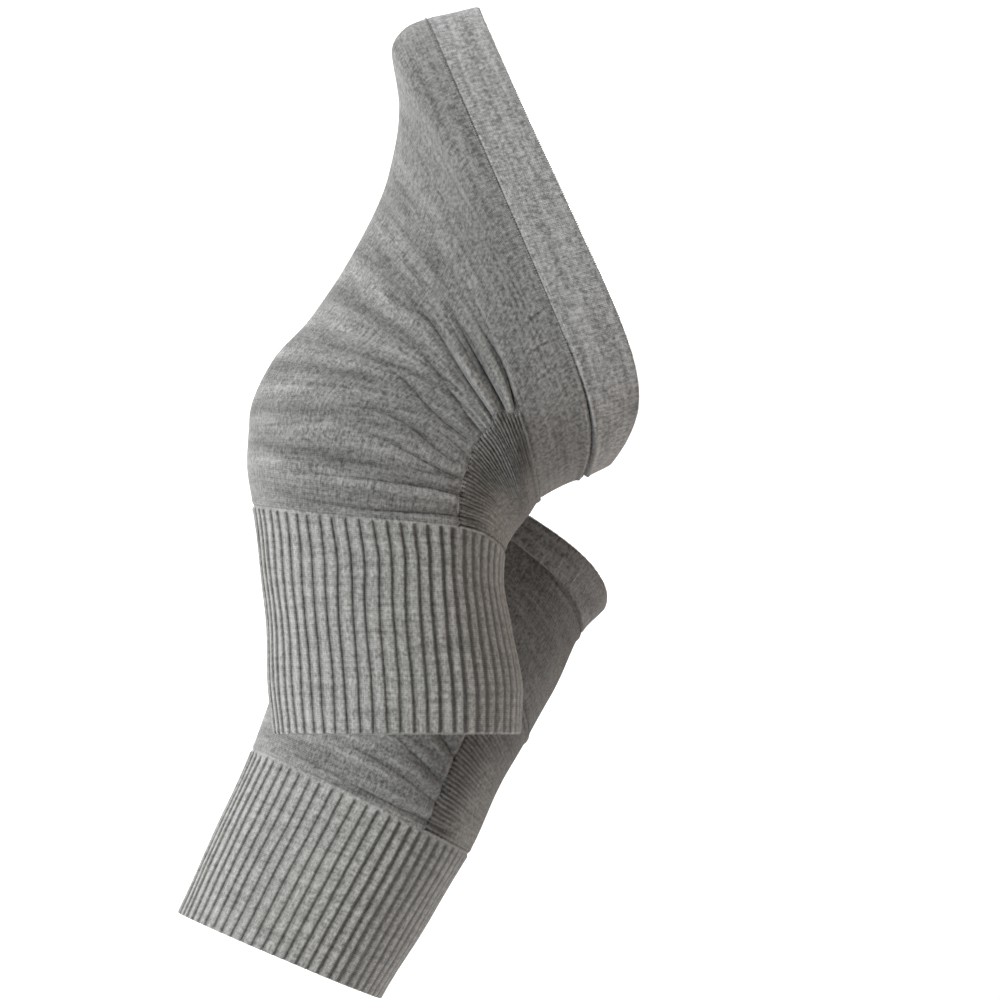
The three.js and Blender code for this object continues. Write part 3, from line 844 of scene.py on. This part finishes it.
def ridge_tree():
    """Raises fine ridges that run along the courses of the back panel, fading into the hollow."""
    tree, start = geometry_tree(
        "Knitted Ridges",
        [
            ("Ridges", "NodeSocketFloat", 24.0),
            ("Height", "NodeSocketFloat", 0.0005),
            ("Material", "NodeSocketMaterial", None),
        ],
    )
    ridges, height = start.outputs["Ridges"], start.outputs["Height"]
    turn = maths(tree, "MULTIPLY", named(tree, "ridge"), ridges)
    drift = cloth_noise(tree, 0.09, 0.9, 1.0)
    wandering = maths(tree, "MULTIPLY_ADD", maths(tree, "SUBTRACT", drift, 0.5), 0.9, turn)
    wave = maths(tree, "COSINE", maths(tree, "MULTIPLY", wandering, 2 * math.pi))
    crest = maths(tree, "MULTIPLY_ADD", wave, 0.5, 0.5)
    inward = from_hollow(tree)
    fade = ranged_smooth(tree, inward, 0.08, 0.135, 0.12, 1.0)
    lumps = cloth_noise(tree, 0.8, 6.0, 1.0)
    uneven = maths(tree, "MULTIPLY", fade, ranged(tree, lumps, 0.3, 0.7, 0.55, 1.3))
    rise = maths(tree, "MULTIPLY", maths(tree, "SUBTRACT", crest, 0.5), height)
    rise = maths(tree, "MULTIPLY", maths(tree, "MULTIPLY", rise, uneven), named(tree, "outer"))
    moved = lift(tree, start.outputs[0], rise)
    # Painted shade in the troughs between the panel's ridges. Low down in the middle of the hollow the next
    # lines take this shade off, and beyond that paint the cloth lighter.
    recess = maths(tree, "MULTIPLY", maths(tree, "SUBTRACT", 1.0, crest), uneven)
    low_hollow_lightening = ranged_smooth(tree, named(tree, "ridge"), 0.8, 0.4, 0.0, 0.55)
    faded = maths(tree, "MULTIPLY", low_hollow_lightening, maths(tree, "SUBTRACT", 1.0, fade))
    recess = maths(tree, "SUBTRACT", recess, faded)
    stored = store(tree, moved, "recess", recess)
    return finish_tree(tree, start, stored)


def stitch_tree():
    """Sets small stitches of yarn along a path, each turned by its own angle on the cloth."""
    tree, start = geometry_tree(
        "Yarn Stitches",
        [
            ("Spacing", "NodeSocketFloat", 0.0012),
            ("Length", "NodeSocketFloat", 0.0011),
            ("Thickness", "NodeSocketFloat", 0.0006),
            ("Turn", "NodeSocketFloat", 0.0),
            ("Seed", "NodeSocketInt", 1),
            ("Material", "NodeSocketMaterial", None),
        ],
    )
    spacing, length, thickness = (start.outputs[k] for k in ("Spacing", "Length", "Thickness"))
    path = add(tree, "GeometryNodeMeshToCurve", {0: start.outputs[0]})
    even = add(tree, "GeometryNodeResampleCurve", {0: path.outputs[0], "Length": spacing}, mode="LENGTH")
    tangent = add(tree, "GeometryNodeInputTangent").outputs[0]
    kept = store(tree, even.outputs[0], "along", tangent, "FLOAT_VECTOR")
    ways = {"Vector": named(tree, "along", "FLOAT_VECTOR")}
    along = add(tree, "FunctionNodeAlignRotationToVector", ways, axis="X")
    ways = {"Rotation": along.outputs[0], "Vector": named(tree, "outward", "FLOAT_VECTOR")}
    level = add(tree, "FunctionNodeAlignRotationToVector", ways, axis="Z", pivot_axis="X")

    def drawn(low, high):
        """A number drawn afresh for each stitch."""
        inputs = {2: low, 3: high, "Seed": start.outputs["Seed"]}
        return add(tree, "FunctionNodeRandomValue", inputs, data_type="FLOAT").outputs[1]

    angle = maths(tree, "ADD", start.outputs["Turn"], drawn(-0.25, 0.25))
    spin = add(tree, "ShaderNodeCombineXYZ", {2: angle})
    turns = {0: level.outputs[0], 1: spin.outputs[0]}
    turned = add(tree, "FunctionNodeRotateRotation", turns, rotation_space="LOCAL")
    bead = add(tree, "GeometryNodeMeshUVSphere", {"Segments": 8, "Rings": 5, "Radius": 0.5})
    drop = add(tree, "GeometryNodeSetShadeSmooth", {0: bead.outputs[0]})
    size = add(tree, "ShaderNodeCombineXYZ", {0: length, 1: thickness, 2: thickness})
    sizes = {0: size.outputs[0], "Scale": drawn(0.85, 1.15)}
    scale = add(tree, "ShaderNodeVectorMath", sizes, operation="SCALE")
    placed = add(
        tree,
        "GeometryNodeInstanceOnPoints",
        {
            "Points": kept,
            "Instance": drop.outputs[0],
            "Rotation": turned.outputs[0],
            "Scale": scale.outputs[0],
        },
    )
    return finish_tree(tree, start, placed.outputs[0])


def grow(piece, tree, **values):
    """Runs a tree on a piece and keeps the result as its plain mesh."""
    modifier = piece.modifiers.new(tree.name, "NODES")
    modifier.node_group = tree
    sockets = {s.name: s.identifier for s in tree.interface.items_tree if s.in_out == "INPUT"}
    for name, value in values.items():
        modifier[sockets[name]] = value
    graph = bpy.context.evaluated_depsgraph_get()
    mesh = bpy.data.meshes.new_from_object(piece.evaluated_get(graph), depsgraph=graph)
    mesh.name = piece.name
    piece.modifiers.remove(modifier)
    old = piece.data
    piece.data = mesh
    bpy.data.meshes.remove(old)


# ---- Materials ----


def attribute(tree, name):
    return add(tree, "ShaderNodeAttribute", attribute_name=name).outputs["Fac"]


def bell(tree, value, middle, half_width):
    """A bell-shaped rise to 1 round a middle value."""
    across = maths(tree, "DIVIDE", maths(tree, "SUBTRACT", value, middle), half_width)
    return maths(tree, "EXPONENT", maths(tree, "MULTIPLY", maths(tree, "MULTIPLY", across, across), -1.0))


def knit_material(name, colours, streak_and_fold_shade_share=0.0, recess_shade_share=0.0, rungs=0.0):
    """Marled yarn in knitted stitches. The map counts wales and courses, so a stitch is one unit."""
    material = bpy.data.materials.new(name)
    material.use_nodes = True
    tree = material.node_tree
    tree.nodes.clear()
    uv = add(tree, "ShaderNodeUVMap", uv_map="Stitches").outputs[0]
    parts = add(tree, "ShaderNodeSeparateXYZ", {0: uv})
    wale, course = parts.outputs[0], parts.outputs[1]
    place = add(tree, "ShaderNodeTexCoord").outputs["Object"]

    def noise(wale_scale, course_scale, detail, roughness=0.5):
        vector = add(
            tree,
            "ShaderNodeCombineXYZ",
            {0: maths(tree, "MULTIPLY", wale, wale_scale), 1: maths(tree, "MULTIPLY", course, course_scale)},
        ).outputs[0]
        inputs = {"Vector": vector, "Scale": 1.0, "Detail": detail, "Roughness": roughness}
        return add(tree, "ShaderNodeTexNoise", inputs).outputs[0]

    inputs = {"Vector": place, "Scale": 1 / (1.5 * MM), "Detail": 2.0, "Roughness": 0.6}
    marl = add(tree, "ShaderNodeTexNoise", inputs).outputs[0]
    thread = noise(1.0, 0.14, 2.0, 0.6)
    band = noise(0.03, 0.35, 2.0, 0.5)
    furrow = maths(tree, "COSINE", maths(tree, "MULTIPLY", wale, 2 * math.pi))

    # A stitch is two leaning legs of yarn, side by side.
    inside = maths(tree, "FRACT", wale)
    legs = maths(tree, "ABSOLUTE", maths(tree, "SINE", maths(tree, "MULTIPLY", inside, 2 * math.pi)))
    lean = maths(tree, "ABSOLUTE", maths(tree, "SUBTRACT", inside, 0.5))
    climb = maths(tree, "MULTIPLY", maths(tree, "ADD", course, lean), 2 * math.pi)
    rows = maths(tree, "MULTIPLY_ADD", maths(tree, "COSINE", climb), 0.5, 0.5)
    height = maths(tree, "MULTIPLY", legs, maths(tree, "MULTIPLY_ADD", rows, 0.55, 0.45))

    # How much each of these mixes in the light fibre, beyond its own middle value. marl, thread and band are
    # the yarn's own; furrow paints shade between the wales and height paints light on the raised legs of
    # each stitch.
    mix = 0.5
    shares = (
        (marl, 0.5, 2.0), (thread, 0.5, 1.2), (band, 0.5, 1.2), (furrow, 0.0, -0.05), (height, 0.4, 0.18),
    )
    for value, middle, share in shares:
        mix = maths(tree, "MULTIPLY_ADD", maths(tree, "SUBTRACT", value, middle), share, mix)
    mix = maths(tree, "MAXIMUM", maths(tree, "MINIMUM", mix, 1.0), 0.0)
    dark, light = colours
    fibres = {"Factor": mix, 6: (*dark, 1), 7: (*light, 1)}
    dyed = add(tree, "ShaderNodeMix", fibres, data_type="RGBA").outputs[2]
    shade = 1.0
    # Painted shade and light on the body: tone brings the marled courses' own yarn and painted shade at the
    # bottoms of the fine folds, and sunk paints shade down in creases and fine folds and light on their
    # raised shoulders.
    if streak_and_fold_shade_share:
        shade = maths(tree, "MULTIPLY_ADD", attribute(tree, "tone"), streak_and_fold_shade_share, shade)
        shade = maths(tree, "MULTIPLY_ADD", attribute(tree, "sunk"), -0.12, shade)
    # Painted shade in each recess beside a rib and between the panel's ridges, broken up by the wales where
    # rungs is set.
    if recess_shade_share:
        recess = attribute(tree, "recess")
        if rungs:
            recess = maths(tree, "MULTIPLY", recess, maths(tree, "MULTIPLY_ADD", furrow, rungs, 1.0))
        shade = maths(tree, "MULTIPLY_ADD", recess, -recess_shade_share, shade)
    # Painted shade along each narrow line, broken up by the marl, with a painted highlight on the crest
    # beside it; where a line's strength is below zero, the line is a painted highlight and the crest beside
    # it painted shade.
    line = attribute(tree, "line")
    strength = attribute(tree, "shade")
    narrow = maths(tree, "MULTIPLY", bell(tree, line, 0.0, 0.6), strength)
    narrow = maths(tree, "MULTIPLY", narrow, ranged(tree, marl, 0.35, 0.65, 1.35, 0.65))
    crest = maths(tree, "MULTIPLY", bell(tree, line, -1.5, 0.9), strength)
    shade = maths(tree, "MULTIPLY_ADD", narrow, -0.6, shade)
    shade = maths(tree, "MULTIPLY_ADD", crest, 0.3, shade)
    colour = add(tree, "ShaderNodeVectorMath", {0: dyed, "Scale": shade}, operation="SCALE").outputs[0]

    hairs = noise(2.6, 2.6, 3.0, 0.7)
    high = maths(tree, "MULTIPLY", height, 0.2)
    high = maths(tree, "MULTIPLY_ADD", hairs, 0.18, high)
    high = maths(tree, "MULTIPLY_ADD", narrow, -0.5, high)
    bump = add(tree, "ShaderNodeBump", {"Height": high, "Distance": MM})
    cloth = add(
        tree,
        "ShaderNodeBsdfPrincipled",
        {
            "Base Color": colour,
            "Roughness": ranged(tree, marl, 0.3, 0.7, 0.98, 0.86),
            "Normal": bump.outputs[0],
            "Specular IOR Level": 0.25,
            "Sheen Weight": 0.35,
            "Sheen Roughness": 0.45,
        },
    )
    add(tree, "ShaderNodeOutputMaterial", {"Surface": cloth.outputs[0]})
    return material


# The knit of each of the record's material slots. The tone share sets how much the marled courses show and
# how strongly the creases and fine folds are painted with shade, the recess share how much darker a recess
# is painted for its shade, and rungs how far the wales break that painted shade up.
KNITS = {
    "rib_knit": {"name": "Ribbed knit", "fibres": "rib", "recess_shade_share": 0.56},
    "plain_knit": {"name": "Plain knit", "fibres": "plain", "streak_and_fold_shade_share": 2.5},
    "panel_knit": {"name": "Panel knit", "fibres": "panel", "recess_shade_share": 0.68, "rungs": 0.45},
    "band_knit": {"name": "Band knit", "fibres": "band"},
}


def material_for(slot):
    """The knit that fills one of the record's material slots, made once."""
    knit = dict(KNITS[slot])
    name = knit.pop("name")
    fibres = knit.pop("fibres")
    if name in bpy.data.materials:
        return bpy.data.materials[name]
    colours = bpy.context.scene.sleeve_colours
    dark = getattr(colours, f"{fibres}_dark")
    light = getattr(colours, f"{fibres}_light")
    return knit_material(name, (dark, light), **knit)


def settle(piece, slot, node=None, flat=None):
    """Gives a finished piece its material if it has none, hangs it on the body and hides the imported part
    it stands for, if one is given. flat, how it was cut, is not used.
    """
    if not piece.data.materials:
        piece.data.materials.append(material_for(slot))
    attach(piece, BODY)
    if node:
        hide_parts(node)


# ---- Settings ----


def length(name, description, default, **more):
    return FloatProperty(
        name=name, description=description, default=default, unit="LENGTH", subtype="DISTANCE", **more
    )


def colour(name, description, default):
    return FloatVectorProperty(name=name, description=description, subtype="COLOR", default=default)


class SleeveSizes(bpy.types.PropertyGroup):
    """Sizes of the knit."""

    ribs: IntProperty(name="Ribs", description="Ribs round the cuff", default=58, min=20, max=90)
    rib_height: length("Rib height", "How far a rib stands above its recess", 1.08 * MM, precision=5)
    ridges: IntProperty(
        name="Ridges", description="Ridges along the back panel's edge", default=36, min=6, max=60
    )
    ridge_height: length("Ridge height", "How far a panel ridge stands up", 0.8 * MM, precision=5)
    stitch_spacing: length("Stitch spacing", "Distance between linking stitches", 1.2 * MM, precision=5)
    yarn: length("Yarn", "Thickness of the linking yarn", 0.6 * MM, precision=5)


class SleeveColours(bpy.types.PropertyGroup):
    """Colours of the two fibres in each yarn."""

    rib_dark: colour("Rib dark", "Dark fibre of the cuff", (0.135, 0.1385, 0.131))
    rib_light: colour("Rib light", "Light fibre of the cuff", (0.352, 0.357, 0.343))
    plain_dark: colour("Plain dark", "Dark fibre of the body", (0.067, 0.0683, 0.0655))
    plain_light: colour("Plain light", "Light fibre of the body", (0.242, 0.2455, 0.238))
    # The panel's fibres are a little darker and warmer than the body's: the darkness is partly its own yarn
    # and partly painted shade of the hollow behind the knee, and the warmth is a painted warm reflection of
    # skin.
    panel_dark: colour("Panel dark", "Dark fibre of the back panel", (0.060, 0.058, 0.0535))
    panel_light: colour("Panel light", "Light fibre of the back panel", (0.222, 0.2165, 0.204))
    band_dark: colour("Band dark", "Dark fibre of the band", (0.112, 0.114, 0.112))
    band_light: colour("Band light", "Light fibre of the band", (0.352, 0.357, 0.352))


class StageSettings(bpy.types.PropertyGroup):
    """Floor, light and camera."""

    distance: length("Camera distance", "From the camera to the near knee", 1.5)
    width: length("Framed width", "Width of the view at the near knee", 0.46)
    clearance: length("Floor clearance", "From the floor up to the lowest hem", 0.06)
    ambient: FloatProperty(
        name="Ambient", description="Light that comes evenly from all round", default=0.07, min=0.0
    )
    floor_colour: colour("Floor colour", "Colour of the floor and backdrop", (0.93, 0.93, 0.93))


# ---- Operators ----

SLEEVES = {"near": NEAR, "far": FAR}
CUFF_TOP_ROWS = 0.12  # how far below the cuff's top, in rows of the cut, its close rows start
CLOSE_STEP = 0.5
HEM_GAP = 0.02  # rows of the cut kept clear beside the close rows of a hem
INSIDE_HEM = 0.015  # how far inside a hem its loops lie, in rows of the cut
BESIDE_BAND = 0.1  # how far below the band's seam its stitches lie, in rows of the cut
VIEW_X = 0.0506
VIEW_Z = -0.0322
CUFF_STEP = 2.1
BODY_STEP = {"near": 0.6, "far": 1.0}
THIGH_STEP = 1.3
BODY_OUTSIDE = {"near": 118, "far": 88}
BODY_INSIDE = {"near": 84, "far": 64}
FLAT = {
    "cuff": (0.27, 0.105),
    "body": (0.29, 0.165),
    "panel": (0.075, 0.1),
    "band": (0.3, 0.031),
}


def tubes():
    """The side, the table and the tube of each sleeve."""
    for side, sleeve in SLEEVES.items():
        yield side, sleeve, Tube(sleeve)


def rib_columns(ribs, rows):
    """Rounds and wales of columns that follow the ribs, closest where a rib falls off."""
    turn = np.append((np.arange(ribs)[:, None] + np.array(RIB_PHASES)).ravel(), ribs)
    rib = np.arange(ribs + 1) % ribs
    row = rows[:, None]
    sway = 0.03 * np.sin(2.1 * row + 2.4 * rib) + 0.008 * np.sin(8.3 * row + 4.1 * rib)
    sway += 0.04 * np.sin(9.0 * rib)
    sway += 0.5 * np.exp(-(((row - 3.0) / 0.7) ** 2)) * np.sin(2 * math.pi * rib / ribs) ** 3
    swayed = np.array([np.interp(turn, np.arange(ribs + 1), line) for line in sway])
    wales = np.tile(turn * NEEDLES / ribs, (len(rows), 1))
    return (turn + swayed) / ribs, wales


class KNEE_SLEEVES_OT_cuffs(bpy.types.Operator):
    """Builds the ribbed cuff of both sleeves"""

    bl_idname = "knee_sleeves.cuffs"
    bl_label = "Ribbed Cuffs"

    def execute(self, context):
        sizes = context.scene.sleeve_sizes
        tree = rib_tree()
        for side, sleeve, tube in tubes():
            hem = hem_rows(tube, 0, 1, WALL["cuff"] / 2)
            above = tube.rows(0, sleeve["cuff_top"] - CUFF_TOP_ROWS, CUFF_STEP)
            top = tube.rows(sleeve["cuff_top"] - CUFF_TOP_ROWS, sleeve["cuff_top"], CLOSE_STEP)
            rows = np.concatenate([hem, above[above > hem[-1] + HEM_GAP], top[1:]])
            rounds, wales = rib_columns(sizes.ribs, rows)
            piece = cloth_mesh(
                f"{side}_ribbed_cuff", tube, rows, rounds, WALL["cuff"], open_hem=0,
                kept_rows=range(len(hem)), wales=wales,
            )
            settings = {
                "Wales in a rib": NEEDLES / sizes.ribs,
                "Height": sizes.rib_height,
                "Top": float(sleeve["cuff_top"]),
                "Material": material_for("rib_knit"),
            }
            grow(piece, tree, **settings)
            settle(piece, "rib_knit", f"{side}_cuff", FLAT["cuff"])
        return {"FINISHED"}


class KNEE_SLEEVES_OT_bodies(bpy.types.Operator):
    """Builds the plain body of both sleeves, open behind the knee for the panel"""

    bl_idname = "knee_sleeves.bodies"
    bl_label = "Plain Bodies"

    def execute(self, context):
        for side, sleeve, tube in tubes():
            below = tube.rows(sleeve["cuff_top"], sleeve["panel_top"], BODY_STEP[side])
            above = tube.rows(sleeve["panel_top"], sleeve["band_seam"], THIGH_STEP)
            rows = np.concatenate([below, above[1:]])
            outside = BODY_OUTSIDE[side]
            inside = BODY_INSIDE[side]
            rounds = fitted_rounds(tube, rows, outside, inside)
            hole = (0, len(below) - 1, outside, outside + inside)
            piece = cloth_mesh(f"{side}_plain_body", tube, rows, rounds, WALL["body"], hole=hole)
            settle(piece, "plain_knit", f"{side}_body", FLAT["body"])
        return {"FINISHED"}


class KNEE_SLEEVES_OT_panels(bpy.types.Operator):
    """Builds the ridged panel behind both knees"""

    bl_idname = "knee_sleeves.panels"
    bl_label = "Back Panels"

    def execute(self, context):
        sizes = context.scene.sleeve_sizes
        tree = ridge_tree()
        for side, _, tube in tubes():
            rows, share = panel_rows(tube, sizes.ridges * 6)
            edge = tube.panel_edge(rows)
            rounds = edge + (1 - 2 * edge) * np.linspace(0, 1, BODY_INSIDE[side] + 1)[None]
            piece = cloth_mesh(f"{side}_back_panel_cloth", tube, rows, rounds, WALL["panel"])
            course = np.empty(len(piece.data.vertices))
            piece.data.attributes["course"].data.foreach_get("value", course)
            mark(piece.data, "ridge", np.interp(course, rows, share))
            grow(
                piece, tree, Ridges=float(sizes.ridges), Height=sizes.ridge_height,
                Material=material_for("panel_knit"),
            )
            settle(piece, "panel_knit", f"{side}_back_panel", FLAT["panel"])
        return {"FINISHED"}


def panel_rows(tube, count):
    """Rows evenly spaced along the panel's edge, and each row's share of the way."""
    sleeve = tube.sleeve
    fine = np.linspace(sleeve["cuff_top"], sleeve["panel_top"], 400)
    edge = tube.points(fine, tube.panel_edge(fine))[:, 0]
    lengths = np.concatenate([[0], np.cumsum(np.linalg.norm(np.diff(edge, axis=0), axis=1))])
    share = np.linspace(0, 1, count + 1)
    return np.interp(share * lengths[-1], lengths, fine), share


class KNEE_SLEEVES_OT_bands(bpy.types.Operator):
    """Builds the plain welt band at the thigh end of both sleeves"""

    bl_idname = "knee_sleeves.bands"
    bl_label = "Welt Bands"

    def execute(self, context):
        for side, sleeve, tube in tubes():
            hem = hem_rows(tube, sleeve["thigh_hem"], -1, WALL["band"] / 2)[::-1]
            rows = tube.rows(sleeve["band_seam"], sleeve["thigh_hem"], 1.0)
            rows = np.concatenate([rows[rows < hem[0] - HEM_GAP], hem])
            rounds = fitted_rounds(tube, rows, BODY_OUTSIDE[side], BODY_INSIDE[side])
            piece = cloth_mesh(
                f"{side}_welt_band", tube, rows, rounds, WALL["band"], open_hem=sleeve["thigh_hem"],
                kept_rows=range(len(rows) - len(hem), len(rows)),
            )
            settle(piece, "band_knit", f"{side}_band", FLAT["band"])
        return {"FINISHED"}


def path_piece(name, tube, runs):
    """A piece that holds only paths on the cloth, each a run of (places, rounds, lift in mm, closed)."""
    points = []
    ways = []
    edges = []
    for places, rounds, lift_mm, closed in runs:
        stretch = tube.surface(places, rounds[:, None])
        raised = (stretch.points - stretch.outward * (relief(stretch) - lift_mm)[..., None])[:, 0]
        first = len(points)
        points += (raised * MM).tolist()
        ways += stretch.outward[:, 0].tolist()
        edges += [(first + i, first + i + 1) for i in range(len(places) - 1)]
        if closed:
            edges.append((first + len(places) - 1, first))
    mesh = bpy.data.meshes.new(name)
    mesh.from_pydata(points, edges, [])
    mesh.attributes.new("outward", "FLOAT_VECTOR", "POINT").data.foreach_set("vector", np.ravel(ways))
    return add_object(name, mesh)


def course_run(place, lift, start=0.0, end=1.0, count=400):
    """A run along one course, closed where it goes all round."""
    closed = end - start >= 1
    rounds = np.linspace(start, end, count, endpoint=not closed)
    return np.full(count, float(place)), rounds, lift, closed


class KNEE_SLEEVES_OT_linking(bpy.types.Operator):
    """Builds the linking stitches along the seams of both sleeves"""

    bl_idname = "knee_sleeves.linking"
    bl_label = "Linking Stitches"

    def execute(self, context):
        sizes = context.scene.sleeve_sizes
        tree = stitch_tree()
        for index, (side, sleeve, tube) in enumerate(tubes()):
            places = tube.rows(sleeve["cuff_top"], sleeve["panel_top"], 1.0)
            edge = tube.panel_edge(places)[:, 0]
            top = tube.panel_edge(np.array([float(sleeve["panel_top"])]))[0, 0]
            runs = [
                (places, edge, 0.0, False),
                (places, 1 - edge, 0.0, False),
                course_run(sleeve["panel_top"], lift=0.45, start=top, end=1 - top, count=200),
                course_run(sleeve["band_seam"] - BESIDE_BAND, lift=0.2),
            ]
            piece = path_piece(f"{side}_linking_stitches", tube, runs)
            grow(
                piece, tree, Spacing=sizes.stitch_spacing, Length=sizes.stitch_spacing * 0.85,
                Thickness=sizes.yarn, Turn=0.9, Seed=11 + index, Material=material_for("band_knit"),
            )
            settle(piece, "band_knit")
        return {"FINISHED"}


class KNEE_SLEEVES_OT_hems(bpy.types.Operator):
    """Builds the cast-on loops along both hems of both sleeves"""

    bl_idname = "knee_sleeves.hems"
    bl_label = "Hem Loops"

    def execute(self, context):
        tree = stitch_tree()
        for index, (side, sleeve, tube) in enumerate(tubes()):
            runs = [
                course_run(INSIDE_HEM, lift=-WALL["cuff"] * 0.35),
                course_run(sleeve["thigh_hem"] - INSIDE_HEM, lift=-WALL["band"] * 0.45),
            ]
            piece = path_piece(f"{side}_hem_loops", tube, runs)
            grow(
                piece, tree, Spacing=1.1 * MM, Length=1.5 * MM, Thickness=0.75 * MM,
                Turn=1.2, Seed=31 + index, Material=material_for("rib_knit"),
            )
            settle(piece, "rib_knit")
        return {"FINISHED"}


class KNEE_SLEEVES_OT_stage(bpy.types.Operator):
    """Builds the floor, the lights and the camera"""

    bl_idname = "knee_sleeves.stage"
    bl_label = "Stage"

    def execute(self, context):
        settings = context.scene.stage_settings
        floor = cad_box[0].z - settings.clearance
        make_backdrop(floor, settings.floor_colour)
        for row in LAMPS:
            make_lamp(**dict(zip(LAMP_COLUMNS, row)))
        make_flag(floor)
        context.scene.world = studio_world(settings.ambient)
        context.scene.view_settings.view_transform = "Standard"
        data = bpy.data.cameras.new("Camera")
        data.sensor_width = 36
        data.lens = data.sensor_width * settings.distance / settings.width
        camera = add_object("Camera", data)
        camera.location = (VIEW_X, -settings.distance, VIEW_Z)
        camera.rotation_euler = (math.pi / 2, 0, 0)
        context.scene.camera = camera
        return {"FINISHED"}


# Lamps: where each hangs, where it points, its size across, its power and its colour.
LAMP_COLUMNS = ("name", "place", "aim", "size", "power", "colour")
LAMPS = [
    ("Key", (-1.7, -1.5, 1.2), (0, 0, 0), 0.8, 105, (1, 1, 1)),
    ("Fill", (0.5, -2.4, 0.6), (0, 0, 0), 1.2, 3, (1, 1, 1)),
    ("Bounce", (1.3, -0.4, -0.2), (0, 0, 0), 0.8, 10, (1, 0.87, 0.79)),
    ("Rim", (-1.6, 0.9, 0.4), (0, 0, 0), 1.0, 22, (1, 1, 1)),
    ("Wash", (0, 0.9, 1.8), (0, 2.6, 0.1), 1.5, 70, (1, 1, 1)),
]


def make_lamp(name, place, aim, size, power, colour):
    data = bpy.data.lights.new(name, "AREA")
    data.color = colour
    data.shape = "DISK"
    data.size = size
    data.energy = power
    lamp = add_object(name, data)
    lamp.location = place
    lamp.rotation_euler = (Vector(aim) - Vector(place)).to_track_quat("-Z", "Y").to_euler()


def studio_world(ambient):
    """A faint even light, with plain white beyond the stage."""
    world = bpy.data.worlds.new("Studio")
    world.use_nodes = True
    tree = world.node_tree
    tree.nodes.clear()
    seen = add(tree, "ShaderNodeLightPath").outputs["Is Camera Ray"]
    strength = ranged(tree, seen, 0.0, 1.0, ambient, 1.2)
    light = add(tree, "ShaderNodeBackground", {"Color": (1.0, 0.92, 0.87, 1.0), "Strength": strength})
    add(tree, "ShaderNodeOutputWorld", {"Surface": light.outputs[0]})
    return world


def make_flag(floor):
    """A brown card that keeps the light from the right off the far sleeve and warms it from there. The
    camera doesn't see it."""
    near, far, place, low, top = -0.02, 0.6, 0.24, floor + 0.125, 0.12
    points = [(place, near, low), (place, far, low), (place, far, top), (place, near, top)]
    mesh = bpy.data.meshes.new("Flag")
    mesh.from_pydata(points, [], [(0, 1, 2, 3)])
    flag = add_object("Flag", mesh)
    flag.visible_camera = False
    mesh.materials.append(paper("Brown card", (0.15, 0.07, 0.03)))
    flag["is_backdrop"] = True


def paper(name, colour):
    material = bpy.data.materials.new(name)
    material.use_nodes = True
    shader = material.node_tree.nodes["Principled BSDF"]
    shader.inputs["Base Color"].default_value = (*colour, 1)
    shader.inputs["Roughness"].default_value = 0.9
    return material


def make_backdrop(floor, colour):
    """A floor that curves up into a low back wall."""
    width = 0.95
    front = -0.35
    bend_start = 1.6
    radius = 1.2
    wall_top = floor + 1.3
    profile = [(front, floor), (bend_start, floor)]
    for step in range(1, 17):
        angle = math.pi / 2 * step / 16
        profile.append((bend_start + radius * math.sin(angle), floor + radius * (1 - math.cos(angle))))
    profile.append((bend_start + radius, wall_top))
    points = [(x, y, z) for y, z in profile for x in (-width, width)]
    faces = [(2 * i, 2 * i + 1, 2 * i + 3, 2 * i + 2) for i in range(len(profile) - 1)]
    mesh = bpy.data.meshes.new("Backdrop")
    mesh.from_pydata(points, [], faces)
    mesh.shade_smooth()
    backdrop = add_object("Backdrop", mesh)
    mesh.materials.append(paper("Backdrop paper", colour))
    backdrop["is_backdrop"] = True


class KNEE_SLEEVES_PT_build(bpy.types.Panel):
    """Buttons that build the sleeves, and their sizes and colours"""

    bl_idname = "KNEE_SLEEVES_PT_build"
    bl_label = "Knee Sleeves"
    bl_space_type = "VIEW_3D"
    bl_region_type = "UI"
    bl_category = "Knee Sleeves"

    def draw(self, context):
        for name in ("sleeve_sizes", "sleeve_colours", "stage_settings"):
            group = getattr(context.scene, name)
            box = self.layout.box()
            for prop in group.__annotations__:
                box.prop(group, prop)
        for operator in OPERATORS:
            self.layout.operator(operator.bl_idname)


SETTINGS = {
    "sleeve_sizes": SleeveSizes,
    "sleeve_colours": SleeveColours,
    "stage_settings": StageSettings,
}
OPERATORS = (
    KNEE_SLEEVES_OT_cuffs,
    KNEE_SLEEVES_OT_bodies,
    KNEE_SLEEVES_OT_panels,
    KNEE_SLEEVES_OT_bands,
    KNEE_SLEEVES_OT_linking,
    KNEE_SLEEVES_OT_hems,
    KNEE_SLEEVES_OT_stage,
)


def register():
    for cls in (*SETTINGS.values(), *OPERATORS, KNEE_SLEEVES_PT_build):
        bpy.utils.register_class(cls)
    for name, group in SETTINGS.items():
        setattr(bpy.types.Scene, name, PointerProperty(type=group))


def unregister():
    for name in SETTINGS:
        delattr(bpy.types.Scene, name)
    for cls in (KNEE_SLEEVES_PT_build, *reversed(OPERATORS), *SETTINGS.values()):
        bpy.utils.unregister_class(cls)


def main():
    register()
    bpy.ops.knee_sleeves.cuffs()
    bpy.ops.knee_sleeves.bodies()
    bpy.ops.knee_sleeves.panels()
    bpy.ops.knee_sleeves.bands()
    bpy.ops.knee_sleeves.linking()
    bpy.ops.knee_sleeves.hems()
    bpy.ops.knee_sleeves.stage()
    boxes = {"cad": cad_box, "visual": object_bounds()}
    {name: [list(corner) for corner in box] for name, box in boxes.items()}


if __name__ == "__main__":
    main()
